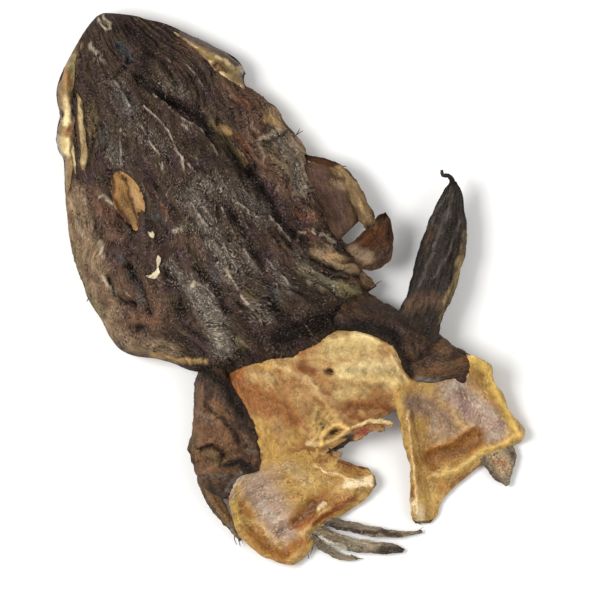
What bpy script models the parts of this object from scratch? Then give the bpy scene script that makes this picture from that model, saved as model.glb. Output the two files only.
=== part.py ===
"""A dried cod head with its collar: skull, cheeks, nape flesh, two splayed collar plates and both breast fins.

It is one dried piece. The snout points along +Y, the crown is up, and it rests on z = 0. Sizes are in metres.
"""

import math

import bmesh
import bpy
import numpy as np

# Driving sizes.
SNOUT_Y = 0.1966  # tip of the snout
CLOSING_LENGTH = 0.013  # how far the head runs on under the nape flesh
MOUTH_DEPTH = 0.0030  # how far the mouth slit runs in between the lips
MOUTH_DEPTH_LIMIT = 0.2  # and never more than this share of the head's half width
MOUTH_CORNER_Y = 0.118  # where the slit ends on each side
MOUTH_CORNER_LENGTH = 0.020  # how far from its corner the slit reaches its depth
MOUTH_TURN = 0.16  # half the slit's share of a half turn round the head
THROAT_HALF_WIDTH = 0.027
THROAT_X = -0.036
CROWN_RISE = 0.021  # skull over the cheeks, at the nape
CHEEK_RISE = 0.036  # cheeks over the rim, at their highest
RIM_HEIGHT = 0.013  # widest line of the head over the floor
FLAT_SHARE = 0.70  # share of the head's half width that lies flat on the floor
CHEEK_ROUNDNESS = 2.3  # exponent of the cheeks' cross-section
CROWN_ROUNDNESS = 1.3  # exponent of the skull's cross-section
NAPE_START_Y = 0.020  # where the nape's edge starts to slant
END_HEIGHT_SHARE = 0.25  # share of its height that the head keeps at its closed ends
PLATE_THICK = 0.0042
FLAP_THICK = 0.0034
EDGE_ROUNDNESS = 0.6  # exponent of a thin piece's rounded rim
HEAD_SIDES = 48
HEAD_RINGS = 40
WELD_DISTANCE = 0.00001

# Stations of the head from the nape to the snout: place along Y, left edge, right edge.
HEAD_STATIONS = (
    (-0.060, -0.070, 0.032),
    (-0.036, -0.078, 0.037),
    (-0.022, -0.092, 0.043),
    (-0.008, -0.110, 0.042),
    (0.006, -0.1185, 0.0400),
    (0.038, -0.1215, 0.0415),
    (0.062, -0.1180, 0.0450),
    (0.090, -0.1095, 0.0420),
    (0.112, -0.1010, 0.0330),
    (0.128, -0.0945, 0.0330),
    (0.140, -0.0925, 0.0285),
    (0.152, -0.0835, 0.0195),
    (0.166, -0.0785, 0.0080),
    (0.180, -0.0625, -0.0065),
    (0.189, -0.0490, -0.0180),
    (0.194, -0.0400, -0.0240),
    (SNOUT_Y, -0.0330, -0.0290),
)
# Where the skin is cut at the nape: place along X, place along Y.
NAPE_CUT = ((-0.070, -0.047), (-0.040, -0.041), (-0.012, -0.050), (0.018, -0.055), (0.036, -0.070))
NAPE_MIDDLE_X = -0.040
# Height that the cheeks and the skull reach over the piece below, as a share by place along Y.
CHEEK_PROFILE = ((-0.050, 0.86), (0.000, 1.00), (0.060, 0.98), (0.120, 0.74), (0.165, 0.50), (SNOUT_Y, 0.22))
CROWN_PROFILE = ((-0.050, 0.62), (-0.020, 1.00), (0.060, 0.92), (0.140, 0.72), (0.178, 0.50), (SNOUT_Y, 0.10))
CROWN_HALF_WIDTH = ((-0.050, 0.050), (0.050, 0.046), (0.120, 0.037), (SNOUT_Y, 0.024))
CROWN_X = ((-0.050, -0.028), (0.050, -0.031), (SNOUT_Y, -0.033))
CHIN_LIFT = ((-0.060, 0.0), (0.120, 0.0), (0.165, 0.003), (SNOUT_Y, 0.009))
SNOUT_ROUND = 0.014  # length over which the front of the snout is rounded off
SNOUT_FRONT_Z = 0.017  # height of its foremost point
# Depth of the throat's hollow between the jaw bones, on the belly side.
THROAT_PROFILE = ((-0.060, 0.010), (0.000, 0.008), (0.090, 0.006), (0.150, 0.0), (SNOUT_Y, 0.0))

# Furrows and ridges of the head's skin: depth (up is plus), half width, and the line that each follows.
FURROWS = (
    (-0.0085, 0.0080, ((-0.030, 0.150), (-0.012, 0.118), (0.002, 0.085), (0.009, 0.050), (0.014, 0.010),
                       (0.024, -0.015))),
    (-0.0045, 0.0050, ((-0.066, 0.130), (-0.064, 0.090), (-0.062, 0.055), (-0.066, 0.010))),
    (-0.0065, 0.0070, ((-0.072, 0.100), (-0.072, 0.064))),
    (-0.0050, 0.0055, ((0.005, 0.098), (0.010, 0.064))),
    (-0.0040, 0.0040, ((-0.070, 0.158), (-0.081, 0.138), (-0.092, 0.116))),
    (0.0030, 0.0040, ((-0.066, 0.155), (-0.076, 0.136), (-0.085, 0.118))),
    (-0.0040, 0.0060, ((-0.102, 0.046), (-0.098, 0.024))),
    (-0.0040, 0.0070, ((-0.031, 0.172), (-0.028, 0.158))),
    (0.0025, 0.0050, ((-0.030, 0.065), (-0.032, 0.000), (-0.028, -0.030))),
    (-0.0025, 0.0050, ((-0.044, 0.020), (-0.043, -0.012))),
    (-0.0050, 0.0080, ((0.022, 0.028), (0.024, 0.004))),
)

# Each soft body runs between two edges, A and B, given as points on the floor plan.
FLESH_A = (
    (-0.040, -0.026), (-0.066, -0.050), (-0.070, -0.075),
    (-0.076, -0.096), (-0.066, -0.114), (-0.034, -0.119),
)
FLESH_B = (
    (-0.004, -0.026), (0.034, -0.048), (0.042, -0.078), (0.042, -0.100), (0.024, -0.114), (-0.004, -0.118),
)
LEFT_SHOULDER_A = (
    (-0.074, -0.030), (-0.091, -0.047), (-0.101, -0.066),
    (-0.109, -0.080), (-0.110, -0.100), (-0.1055, -0.132),
)
LEFT_SHOULDER_B = (
    (-0.058, -0.030), (-0.060, -0.056), (-0.062, -0.080),
    (-0.070, -0.105), (-0.088, -0.112), (-0.102, -0.133),
)
RIGHT_SHOULDER_A = (
    (-0.004, -0.036), (0.018, -0.056), (0.034, -0.072), (0.0365, -0.090), (0.044, -0.105), (0.062, -0.117),
)
RIGHT_SHOULDER_B = (
    (0.030, -0.018), (0.052, -0.057), (0.070, -0.080), (0.074, -0.096), (0.078, -0.108), (0.072, -0.118),
)
LEFT_PLATE_A = (
    (-0.092, -0.102), (-0.070, -0.092), (-0.044, -0.100),
    (-0.027, -0.121), (-0.017, -0.134), (-0.009, -0.142),
)
LEFT_PLATE_B = (
    (-0.099, -0.112), (-0.1035, -0.136), (-0.095, -0.160),
    (-0.079, -0.172), (-0.056, -0.160), (-0.009, -0.151),
)
RIGHT_PLATE_A = (
    (0.030, -0.088), (0.022, -0.112), (0.017, -0.130), (0.013, -0.150), (0.003, -0.170), (-0.001, -0.183),
)
RIGHT_PLATE_B = (
    (0.070, -0.098), (0.087, -0.113), (0.086, -0.140), (0.088, -0.164), (0.055, -0.170), (0.010, -0.187),
)
RIGHT_FIN_A = (
    (0.044, -0.066), (0.060, -0.051), (0.075, -0.034), (0.095, -0.015), (0.113, -0.002), (0.119, 0.003),
)
RIGHT_FIN_B = (
    (0.062, -0.090), (0.078, -0.072), (0.098, -0.053), (0.113, -0.032), (0.1222, -0.010), (0.121, 0.001),
)
GILL_WEB_A = ((0.034, 0.050), (0.034, 0.028), (0.036, -0.001))
GILL_WEB_B = ((0.047, 0.051), (0.060, 0.036), (0.057, 0.005))
GILL_RIM_A = ((0.040, 0.056), (0.055, 0.039), (0.055, 0.018), (0.055, -0.004))
GILL_RIM_B = ((0.044, 0.058), (0.063, 0.036), (0.0655, 0.020), (0.063, -0.003))
LEAF_A = ((0.036, -0.006), (0.048, -0.0045), (0.060, -0.0015), (0.072, 0.002))
LEAF_B = ((0.036, -0.018), (0.048, -0.027), (0.061, -0.0265), (0.0735, -0.005))
REAR_FLAP_A = ((0.030, -0.018), (0.036, -0.030), (0.038, -0.038))
REAR_FLAP_B = ((0.040, -0.016), (0.044, -0.028), (0.0475, -0.0365))
FOLDED_FIN_A = ((-0.104, -0.078), (-0.111, -0.096), (-0.1125, -0.114), (-0.108, -0.134), (-0.105, -0.142))
FOLDED_FIN_B = ((-0.098, -0.082), (-0.098, -0.100), (-0.098, -0.118), (-0.099, -0.132), (-0.102, -0.141))
TAIL_FLAP_A = ((0.056, -0.160), (0.057, -0.176), (0.061, -0.188))
TAIL_FLAP_B = ((0.078, -0.160), (0.077, -0.172), (0.065, -0.188))
NAPE_SPIKE_A = ((-0.026, -0.108), (-0.004, -0.108), (0.015, -0.113))
NAPE_SPIKE_B = ((-0.026, -0.118), (-0.002, -0.119), (0.012, -0.1215))
LEFT_RAYS = (
    ((-0.049, -0.1555), (-0.038, -0.166), (-0.019, -0.180), (0.002, -0.1900)),
    ((-0.058, -0.1575), (-0.048, -0.171), (-0.030, -0.186), (-0.013, -0.1960)),
    ((-0.0665, -0.1610), (-0.060, -0.170), (-0.052, -0.181), (-0.043, -0.188)),
)
RAY_HALF_WIDTH = 0.0040
RAY_TIP_SHARE = 0.22  # a ray's width at its tip, as a share of the width at its root
TIP_CURL = (
    (0.119, -0.002, 0.0215), (0.1195, 0.003, 0.0240), (0.117, 0.006, 0.0270), (0.1155, 0.0098, 0.0285),
)
CURL_RADIUS = 0.0019
CURL_TIP_SHARE = 0.4
CURL_POINTS = 9

# The nape flesh's thickness.
FLESH_AT_NAPE = 0.028
FLESH_THINNING = 0.014  # from the nape to its torn rear edge
LEFT_THINNING = 0.007  # further thinning of its left side
# The left plate: a shallow bowl, high at the flesh, with its outer rim turned up.
LEFT_BOWL_RISE = 0.0260
LEFT_BOWL_POWER = 1.7
LEFT_BOWL_FALL = 0.35  # share of the rise that is lost towards its rear tip
LEFT_BOWL_DROP = 0.0003
# The right plate: it falls from the flesh, with a thick spar down its inner edge.
RIGHT_FLOOR = 0.0035
RIGHT_FALL = 0.0190
RIGHT_FALL_POWER = 1.6
SPAR_RISE = 0.0160
SPAR_HALF_WIDTH = 0.20
SPAR_FALL = 0.55
SPAR_START = 4.0  # the spar reaches its height a quarter of the way along
# Swellings and hollows of the plates: rise, then place and half width across and along, as shares.
WHOLE_LENGTH = 20.0
LEFT_SWELLS = (
    (0.0120, 1.00, 0.17, 0.50, WHOLE_LENGTH),
    (0.0055, 0.70, 0.10, 0.85, 0.25),
    (-0.0020, 0.52, 0.18, 0.50, WHOLE_LENGTH),
)
RIGHT_SWELLS = (
    (0.0100, 1.00, 0.16, 0.50, WHOLE_LENGTH),
    (-0.0045, 0.62, 0.14, 0.62, 0.20),
)
# The right fin leaves the shoulder high, dips and turns up at its tip; its rear edge hangs.
FIN_ROOT_HEIGHT = 0.0300
FIN_DIP = 0.0150
FIN_TIP_RISE = 0.0065
FIN_HANG = 0.0050
FIN_ROOT_THICK = 0.0051
FIN_TIP_THICK = 0.0022
# The leaf-shaped gill flap: it rises to its tip and is cupped more and more on the way.
LEAF_ROOT_HEIGHT = 0.0155
LEAF_RISE = 0.0070
LEAF_CUP = 0.0320

SKIN_COLOUR = (0.085, 0.062, 0.048, 1.0)
SKIN_ROUGHNESS = 0.68


def profile(stations, at):
    """The value at a place along stations of (place, value), smooth through them all."""
    places, values = np.array(stations).T
    slopes = np.gradient(values, places)
    i = int(np.clip(np.searchsorted(places, at) - 1, 0, len(places) - 2))
    span = places[i + 1] - places[i]
    s = min(max((at - places[i]) / span, 0.0), 1.0)
    start = (1 + 2 * s) * (1 - s) ** 2 * values[i] + s * (1 - s) ** 2 * span * slopes[i]
    end = s * s * (3 - 2 * s) * values[i + 1] + s * s * (s - 1) * span * slopes[i + 1]
    return start + end


def path_at(points, share):
    """The point at a share, 0 to 1, of the smooth path through the points."""
    points = np.array(points)
    steps = np.linalg.norm(np.diff(points, axis=0), axis=1)
    places = np.concatenate([[0.0], np.cumsum(steps)]) / steps.sum()
    return [profile(np.column_stack([places, column]), share) for column in points.T]


def line_distance(line, x, y):
    """The distance on the plan from a point to a line of straight runs."""
    nearest = math.inf
    for (ax, ay), (bx, by) in zip(line, line[1:]):
        dx = bx - ax
        dy = by - ay
        s = ((x - ax) * dx + (y - ay) * dy) / (dx * dx + dy * dy)
        s = min(max(s, 0.0), 1.0)
        nearest = min(nearest, math.hypot(x - ax - s * dx, y - ay - s * dy))
    return nearest


def bell(distance, half_width):
    """A smooth swelling: 1 on its line, 0.37 at the half width and soon nothing."""
    return math.exp(-((distance / half_width) ** 2))


def head_edges(y):
    left = profile([(place, left) for place, left, _ in HEAD_STATIONS], y)
    right = profile([(place, right) for place, _, right in HEAD_STATIONS], y)
    return left, right


def head_top(x, y, across):
    """Height of the head's skin. across is -1 at the left edge and 1 at the right edge."""
    cheek = (1 - min(abs(across), 1.0) ** CHEEK_ROUNDNESS) ** 0.5
    crown = max(0.0, 1 - ((x - profile(CROWN_X, y)) / profile(CROWN_HALF_WIDTH, y)) ** 2) ** CROWN_ROUNDNESS
    height = RIM_HEIGHT + profile(CHIN_LIFT, y)
    height += CHEEK_RISE * profile(CHEEK_PROFILE, y) * cheek
    height += CROWN_RISE * profile(CROWN_PROFILE, y) * crown * cheek
    for depth, half_width, line in FURROWS:
        height += depth * bell(line_distance(line, x, y), half_width) * cheek
    return height


def head_underside(x, y, across):
    """The belly side: flat on the floor beside the throat, curled up to the rim and lifted under the chin."""
    curl = max(0.0, (abs(across) - FLAT_SHARE) / (1 - FLAT_SHARE))
    rise = 1 - (1 - min(curl, 1.0) ** 2) ** 0.5
    hollow = max(0.0, 1 - ((x - THROAT_X) / THROAT_HALF_WIDTH) ** 2) ** 2
    hollow *= max(0.0, profile(THROAT_PROFILE, y))
    return max(0.0, profile(CHIN_LIFT, y)) + RIM_HEIGHT * rise + hollow


def mouth_slit(y, angle):
    """How far the rim is drawn in between the lips, from one mouth corner round the snout to the other."""
    opening = min(max((y - MOUTH_CORNER_Y) / MOUTH_CORNER_LENGTH, 0.0), 1.0)
    return MOUTH_DEPTH * opening * bell(math.sin(angle), MOUTH_TURN)


def head_point(along, angle):
    """along runs from the snout, 0, to the nape, 1. angle turns from the right edge over the top."""
    share = (1 - math.cos(math.pi * along)) / 2
    across = math.cos(angle)
    nape_middle = profile(NAPE_CUT, NAPE_MIDDLE_X)
    y = SNOUT_Y + (nape_middle - CLOSING_LENGTH - SNOUT_Y) * share
    left, right = head_edges(y)
    half_width = (right - left) / 2
    slit = min(mouth_slit(y, angle), MOUTH_DEPTH_LIMIT * half_width)
    x = (left + right) / 2 + across * (half_width - slit)
    nape_share = max(0.0, (NAPE_START_Y - y) / (NAPE_START_Y - nape_middle + CLOSING_LENGTH))
    y += (profile(NAPE_CUT, x) - nape_middle) * nape_share * (1 - across * across)
    closing = min(1.0, (1 - share) * (SNOUT_Y - nape_middle) / CLOSING_LENGTH / 2)
    closing = (1 - (1 - closing) ** 2) ** 0.5
    z = head_underside(x, y, across)
    if math.sin(angle) >= 0:
        z += (head_top(x, y, across) - z) * (END_HEIGHT_SHARE + (1 - END_HEIGHT_SHARE) * closing)
    front = min(1.0, share * (SNOUT_Y - nape_middle) / SNOUT_ROUND)
    front = (1 - (1 - front) ** 2) ** 0.5
    return x, y, SNOUT_FRONT_Z + (z - SNOUT_FRONT_Z) * front


def strip_point(edge_a, edge_b, height, thick, along, angle):
    """A point of a body that runs between two edges, with its rim rounded off."""
    share = (1 - math.cos(math.pi * along)) / 2
    across = (1 - math.cos(angle)) / 2
    ax, ay = path_at(edge_a, share)
    bx, by = path_at(edge_b, share)
    x = ax + (bx - ax) * across
    y = ay + (by - ay) * across
    turn = math.sin(angle)
    half = math.copysign(abs(turn) ** EDGE_ROUNDNESS, turn) * thick(across, share) / 2
    return x, y, height(across, share) + half


def sloped(start, end, bend=0.0, centre=0.5):
    """A height or a thickness that goes from start to end along a body, and bends across it from a centre."""
    def at(across, share):
        return start + (end - start) * share + bend * (across - centre) ** 2

    return at


def flesh_thick(across, share):
    return FLESH_AT_NAPE - (FLESH_THINNING + LEFT_THINNING * (1 - across) ** 2) * share


def swellings(table, across, share):
    total = 0.0
    for rise, place_across, width_across, place_along, width_along in table:
        total += rise * bell(across - place_across, width_across) * bell(share - place_along, width_along)
    return total


def left_plate_height(across, share):
    bowl = LEFT_BOWL_RISE * (1 - across) ** LEFT_BOWL_POWER * (1 - LEFT_BOWL_FALL * share) - LEFT_BOWL_DROP
    return bowl + swellings(LEFT_SWELLS, across, share)


def right_plate_height(across, share):
    spar = SPAR_RISE * bell(across, SPAR_HALF_WIDTH) * (1 - SPAR_FALL * share) * min(1.0, SPAR_START * share)
    fall = RIGHT_FALL * (1 - share) ** RIGHT_FALL_POWER
    return RIGHT_FLOOR + spar + fall + swellings(RIGHT_SWELLS, across, share)


def fin_height(across, share):
    return FIN_ROOT_HEIGHT - FIN_DIP * share + FIN_TIP_RISE * share**4 - FIN_HANG * across * (1 - share)


def leaf_height(across, share):
    return LEAF_ROOT_HEIGHT + (LEAF_RISE + LEAF_CUP * (across - 0.5) ** 2) * share


def ray_edges(line):
    """The two edges of a fin ray that narrows from its root to its tip."""
    edges = ([], [])
    for i, (x, y) in enumerate(line):
        before = line[max(i - 1, 0)]
        after = line[min(i + 1, len(line) - 1)]
        run = math.hypot(after[0] - before[0], after[1] - before[1])
        narrowing = 1 - (1 - RAY_TIP_SHARE) * i / (len(line) - 1)
        side_x = (after[1] - before[1]) / run * RAY_HALF_WIDTH * narrowing
        side_y = (before[0] - after[0]) / run * RAY_HALF_WIDTH * narrowing
        edges[0].append((x + side_x, y + side_y))
        edges[1].append((x - side_x, y - side_y))
    return edges


# Soft bodies that join the head: name, edge A, edge B, middle height, thickness, sides round, rings along.
FLAP = sloped(FLAP_THICK, FLAP_THICK)
PLATE = sloped(PLATE_THICK, PLATE_THICK)
BODIES = (
    ("nape_flesh", FLESH_A, FLESH_B, sloped(0.0300, 0.0220, -0.016), flesh_thick, 26, 14),
    ("left_shoulder", LEFT_SHOULDER_A, LEFT_SHOULDER_B,
     sloped(0.0270, 0.0160, -0.006, 1.0), sloped(0.033, 0.015), 18, 14),
    ("right_shoulder", RIGHT_SHOULDER_A, RIGHT_SHOULDER_B,
     sloped(0.0300, 0.0190, -0.012), sloped(0.030, 0.014), 18, 13),
    ("left_plate", LEFT_PLATE_A, LEFT_PLATE_B, left_plate_height, PLATE, 28, 18),
    ("right_plate", RIGHT_PLATE_A, RIGHT_PLATE_B, right_plate_height, PLATE, 28, 18),
    ("right_fin", RIGHT_FIN_A, RIGHT_FIN_B, fin_height, sloped(FIN_ROOT_THICK, FIN_TIP_THICK), 14, 16),
    ("gill_web", GILL_WEB_A, GILL_WEB_B, sloped(0.0180, 0.0180, -0.0045, 0.0), FLAP, 12, 8),
    ("gill_rim", GILL_RIM_A, GILL_RIM_B, sloped(0.0145, 0.0175, 0.004, 0.0), FLAP, 10, 12),
    ("leaf_flap", LEAF_A, LEAF_B, leaf_height, FLAP, 14, 9),
    ("rear_flap", REAR_FLAP_A, REAR_FLAP_B, sloped(0.0170, 0.0130), FLAP, 10, 6),
    ("folded_fin", FOLDED_FIN_A, FOLDED_FIN_B, sloped(0.0170, 0.0085), sloped(0.0080, 0.0035), 10, 10),
    ("tail_flap", TAIL_FLAP_A, TAIL_FLAP_B, sloped(0.0090, 0.0055), FLAP, 12, 7),
    ("nape_spike", NAPE_SPIKE_A, NAPE_SPIKE_B, sloped(0.0260, 0.0240), sloped(0.0090, 0.0050), 10, 7),
)
RAY_HEIGHT = sloped(0.0066, 0.0023)
RAY_THICK = sloped(0.0050, 0.0030)


def shaped_ball(name, around, rings, place):
    """A closed body: a ball whose every vertex goes where place(along, angle) says."""
    mesh = bpy.data.meshes.new(name)
    ball = bmesh.new()
    bmesh.ops.create_uvsphere(ball, u_segments=around, v_segments=rings, radius=1.0)
    for vertex in ball.verts:
        along = math.acos(min(max(vertex.co.z, -1.0), 1.0)) / math.pi
        angle = math.atan2(vertex.co.y, vertex.co.x)
        vertex.co = place(along, angle)
    bmesh.ops.recalc_face_normals(ball, faces=ball.faces)
    ball.to_mesh(mesh)
    ball.free()
    mesh.shade_smooth()
    return bpy.data.objects.new(name, mesh)


def strip_body(name, edge_a, edge_b, height, thick, around, rings):
    def place(along, angle):
        return strip_point(edge_a, edge_b, height, thick, along, angle)

    return shaped_ball(name, around, rings, place)


def curled_tip():
    """The horny thread that curls back from the end of the right fin."""
    curve = bpy.data.curves.new("fin_tip_curl", "CURVE")
    curve.dimensions = "3D"
    curve.bevel_depth = CURL_RADIUS
    curve.bevel_resolution = 2
    curve.use_fill_caps = True
    spline = curve.splines.new("POLY")
    spline.points.add(CURL_POINTS - 1)
    for i, point in enumerate(spline.points):
        share = i / (CURL_POINTS - 1)
        point.co = (*path_at(TIP_CURL, share), 1.0)
        point.radius = 1.0 - (1.0 - CURL_TIP_SHARE) * share
    drawn = bpy.data.objects.new("fin_tip_curl_line", curve)
    bpy.context.scene.collection.objects.link(drawn)
    bpy.context.view_layer.update()
    mesh = bpy.data.meshes.new_from_object(drawn.evaluated_get(bpy.context.evaluated_depsgraph_get()))
    bpy.data.objects.remove(drawn)
    welded = bmesh.new()
    welded.from_mesh(mesh)
    bmesh.ops.remove_doubles(welded, verts=welded.verts, dist=WELD_DISTANCE)
    bmesh.ops.recalc_face_normals(welded, faces=welded.faces)
    welded.to_mesh(mesh)
    welded.free()
    return bpy.data.objects.new("fin_tip_curl", mesh)


def dried_skin():
    material = bpy.data.materials.new("dried_skin")
    material.use_nodes = True
    shader = material.node_tree.nodes["Principled BSDF"]
    shader.inputs["Base Color"].default_value = SKIN_COLOUR
    shader.inputs["Roughness"].default_value = SKIN_ROUGHNESS
    shader.inputs["Metallic"].default_value = 0.0
    return material


def join_to(head, body, helpers):
    """Adds a body to the head's solid. The body itself stays as a hidden guide."""
    helpers.objects.link(body)
    body.hide_render = True
    body.display_type = "WIRE"
    union = head.modifiers.new(f"join_{body.name}", "BOOLEAN")
    union.operation = "UNION"
    union.solver = "EXACT"
    union.object = body


def build():
    for old in list(bpy.data.objects):
        bpy.data.objects.remove(old)
    shown = bpy.data.collections.new("dried_stockfish")
    helpers = bpy.data.collections.new("joined_shapes")
    helpers.hide_render = True
    bpy.context.scene.collection.children.link(shown)
    bpy.context.scene.collection.children.link(helpers)
    head = shaped_ball("stockfish", HEAD_SIDES, HEAD_RINGS, head_point)
    head.data.materials.append(dried_skin())
    shown.objects.link(head)
    for name, edge_a, edge_b, height, thick, around, rings in BODIES:
        join_to(head, strip_body(name, edge_a, edge_b, height, thick, around, rings), helpers)
    for i, line in enumerate(LEFT_RAYS):
        edge_a, edge_b = ray_edges(line)
        join_to(head, strip_body(f"left_ray_{i}", edge_a, edge_b, RAY_HEIGHT, RAY_THICK, 8, 10), helpers)
    join_to(head, curled_tip(), helpers)


build()
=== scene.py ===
"""The looks of a dried stockfish: a cod's head with the nape flesh, collar plates and breast fins left on.

The snout points along +Y and the crown is up. Places in the tables are millimetres on the plan, and a line in
a table is given as x, y, x, y and so on.
"""

import math

import bpy
import numpy as np
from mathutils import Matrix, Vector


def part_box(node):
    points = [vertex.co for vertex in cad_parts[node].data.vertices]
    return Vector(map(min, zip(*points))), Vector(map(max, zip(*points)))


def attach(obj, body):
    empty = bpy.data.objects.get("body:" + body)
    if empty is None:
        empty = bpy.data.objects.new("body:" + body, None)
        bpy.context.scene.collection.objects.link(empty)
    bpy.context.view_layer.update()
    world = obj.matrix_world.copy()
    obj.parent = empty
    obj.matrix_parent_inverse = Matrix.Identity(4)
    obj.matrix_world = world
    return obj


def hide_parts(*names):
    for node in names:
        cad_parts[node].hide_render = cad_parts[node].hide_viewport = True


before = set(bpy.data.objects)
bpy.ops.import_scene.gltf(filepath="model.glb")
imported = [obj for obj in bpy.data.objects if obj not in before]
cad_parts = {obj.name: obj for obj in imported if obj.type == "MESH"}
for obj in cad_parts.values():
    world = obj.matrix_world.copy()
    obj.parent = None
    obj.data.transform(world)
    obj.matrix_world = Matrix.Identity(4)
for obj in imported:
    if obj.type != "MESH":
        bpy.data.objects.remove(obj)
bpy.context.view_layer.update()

# The table and the light.
# A pale board under a wide soft lamp at the fish's left, with a weak one opposite. The camera looks straight
# down, turned so that the snout points up and to the left.
low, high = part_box("stockfish")
PIECE_LENGTH = 393.4
MM = (high.y - low.y) / PIECE_LENGTH  # one millimetre
CAMERA_X = -1.0
CAMERA_Y = -23.1
CAMERA_HEIGHT = 3.0
CAMERA_TURN = math.radians(-27)
VIEW_WIDTH = 384 * MM
SENSOR_WIDTH = 36.0
SKY_STRENGTH = 0.55
LAMPS = (  # name, place, size, power
    ("key_lamp", (-0.62, 0.40, 1.15), 0.60, 15.0),
    ("fill_lamp", (0.9, -0.5, 1.2), 1.2, 6.0),
)
BOARD_REACH = 3.0
BOARD_COLOUR = (0.92, 0.915, 0.90, 1.0)

scene = bpy.context.scene
scene.view_settings.view_transform = "Standard"

camera_data = bpy.data.cameras.new("overhead")
camera_data.sensor_width = SENSOR_WIDTH
camera_data.lens = SENSOR_WIDTH * CAMERA_HEIGHT / VIEW_WIDTH
camera = bpy.data.objects.new("overhead", camera_data)
camera.location = (CAMERA_X * MM, CAMERA_Y * MM, CAMERA_HEIGHT)
camera.rotation_euler = (0, 0, CAMERA_TURN)
scene.collection.objects.link(camera)
scene.camera = camera

world = bpy.data.worlds.new("studio")
world.use_nodes = True
sky = world.node_tree.nodes["Background"]
sky.inputs["Color"].default_value = (1.0, 1.0, 1.0, 1.0)
sky.inputs["Strength"].default_value = SKY_STRENGTH
scene.world = world

for name, place, size, power in LAMPS:
    lamp = bpy.data.lights.new(name, "AREA")
    lamp.size = size
    lamp.energy = power
    holder = bpy.data.objects.new(name, lamp)
    holder.location = place
    aim = holder.location.copy()
    aim.negate()
    holder.rotation_euler = aim.to_track_quat("-Z", "Y").to_euler()
    scene.collection.objects.link(holder)

board_mesh = bpy.data.meshes.new("board")
corners = [(BOARD_REACH * x, BOARD_REACH * y, 0) for x, y in ((-1, -1), (1, -1), (1, 1), (-1, 1))]
board_mesh.from_pydata(corners, [], [(0, 1, 2, 3)])
board = bpy.data.objects.new("board", board_mesh)
board_finish = bpy.data.materials.new("board_paint")
board_finish.use_nodes = True
paint = board_finish.node_tree.nodes["Principled BSDF"]
paint.inputs["Base Color"].default_value = BOARD_COLOUR
paint.inputs["Roughness"].default_value = 0.9
board_mesh.materials.append(board_finish)
scene.collection.objects.link(board)


# The head.
# Skull and cheeks under the dried skin, one flattened dome with its belly on the table. The skin has shrunk
# onto the bone in folds that run back from the snout, and it is dusted with a grey bloom.
SNOUT_TIP = 196.4
NAPE_END = -54.0
NAPE_MIDDLE = -41.0  # where the cut nape stands in the middle
NAPE_START = 20.0  # from here rearwards the rings bend to the cut
CLOSING_LENGTH = 26.0  # length over which the nape is rounded off
RIM_HEIGHT = 13.0
CHEEK_RISE = 36.0
CROWN_RISE = 20.0
CHEEK_ROUNDNESS = 2.3
CROWN_ROUNDNESS = 1.3
FLAT_SHARE = 0.62
THROAT_X = -36.0
THROAT_HALF_WIDTH = 27.0
HEAD_EDGES = (  # place along Y, left edge, right edge
    (-60, -70, 32), (-48, -74, 35), (-36, -78, 37), (-30, -85, 39), (-22, -92, 42), (-14, -101, 42),
    (-8, -110, 41.5),
    (0, -117, 40), (10, -119.5, 38.5), (22, -119.5, 40), (38, -121, 41), (50, -119, 43), (62, -118, 45.5),
    (72, -116, 44.5), (82, -113, 42), (92, -109, 41.5), (100, -106, 38), (108, -102.5, 34), (115, -99, 30.5),
    (119, -97, 31), (124, -95, 33.5), (131, -94.5, 33), (138, -93, 29.5), (145, -89, 24), (151, -84, 20),
    (158, -82, 14), (166, -78.5, 8), (174, -71, 1), (180, -63, -6.5), (186, -54, -13), (191, -46, -20.5),
    (194.5, -39, -26), (SNOUT_TIP, -34.5, -29.5),
)
NAPE_CUT = (
    (-78, -45), (-65, -47), (-48, -41.5), (-37, -41), (-24, -46), (-10, -50), (10, -53), (27, -60), (36, -72),
)
CHEEK_PROFILE = ((-50, 0.86), (0, 1.0), (60, 0.98), (120, 0.74), (165, 0.50), (SNOUT_TIP, 0.22))
CROWN_PROFILE = ((-50, 0.62), (-20, 1.0), (60, 0.92), (140, 0.72), (178, 0.50), (SNOUT_TIP, 0.10))
CROWN_HALF_WIDTH = ((-50, 50), (50, 46), (120, 37), (SNOUT_TIP, 24))
CROWN_X = ((-50, -28), (50, -31), (SNOUT_TIP, -33))
CHIN_LIFT = ((-60, 0), (120, 0), (165, 3), (SNOUT_TIP, 9))
SNOUT_ROUND = 14.0  # length over which the front of the snout is rounded off
SNOUT_FRONT = 17.0  # height of its foremost point
THROAT_PROFILE = ((-60, 10), (0, 8), (90, 6), (150, 0), (SNOUT_TIP, 0))


def profile(stations, at):
    """Values along stations of (place, value), smooth through them all."""
    places, values = np.array(stations, float).T
    slopes = np.gradient(values, places)
    at = np.clip(at, places[0], places[-1])
    i = np.clip(np.searchsorted(places, at) - 1, 0, len(places) - 2)
    span = places[i + 1] - places[i]
    s = (at - places[i]) / span
    start = (1 + 2 * s) * (1 - s) ** 2 * values[i] + s * (1 - s) ** 2 * span * slopes[i]
    return start + s * s * (3 - 2 * s) * values[i + 1] + s * s * (s - 1) * span * slopes[i + 1]


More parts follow.
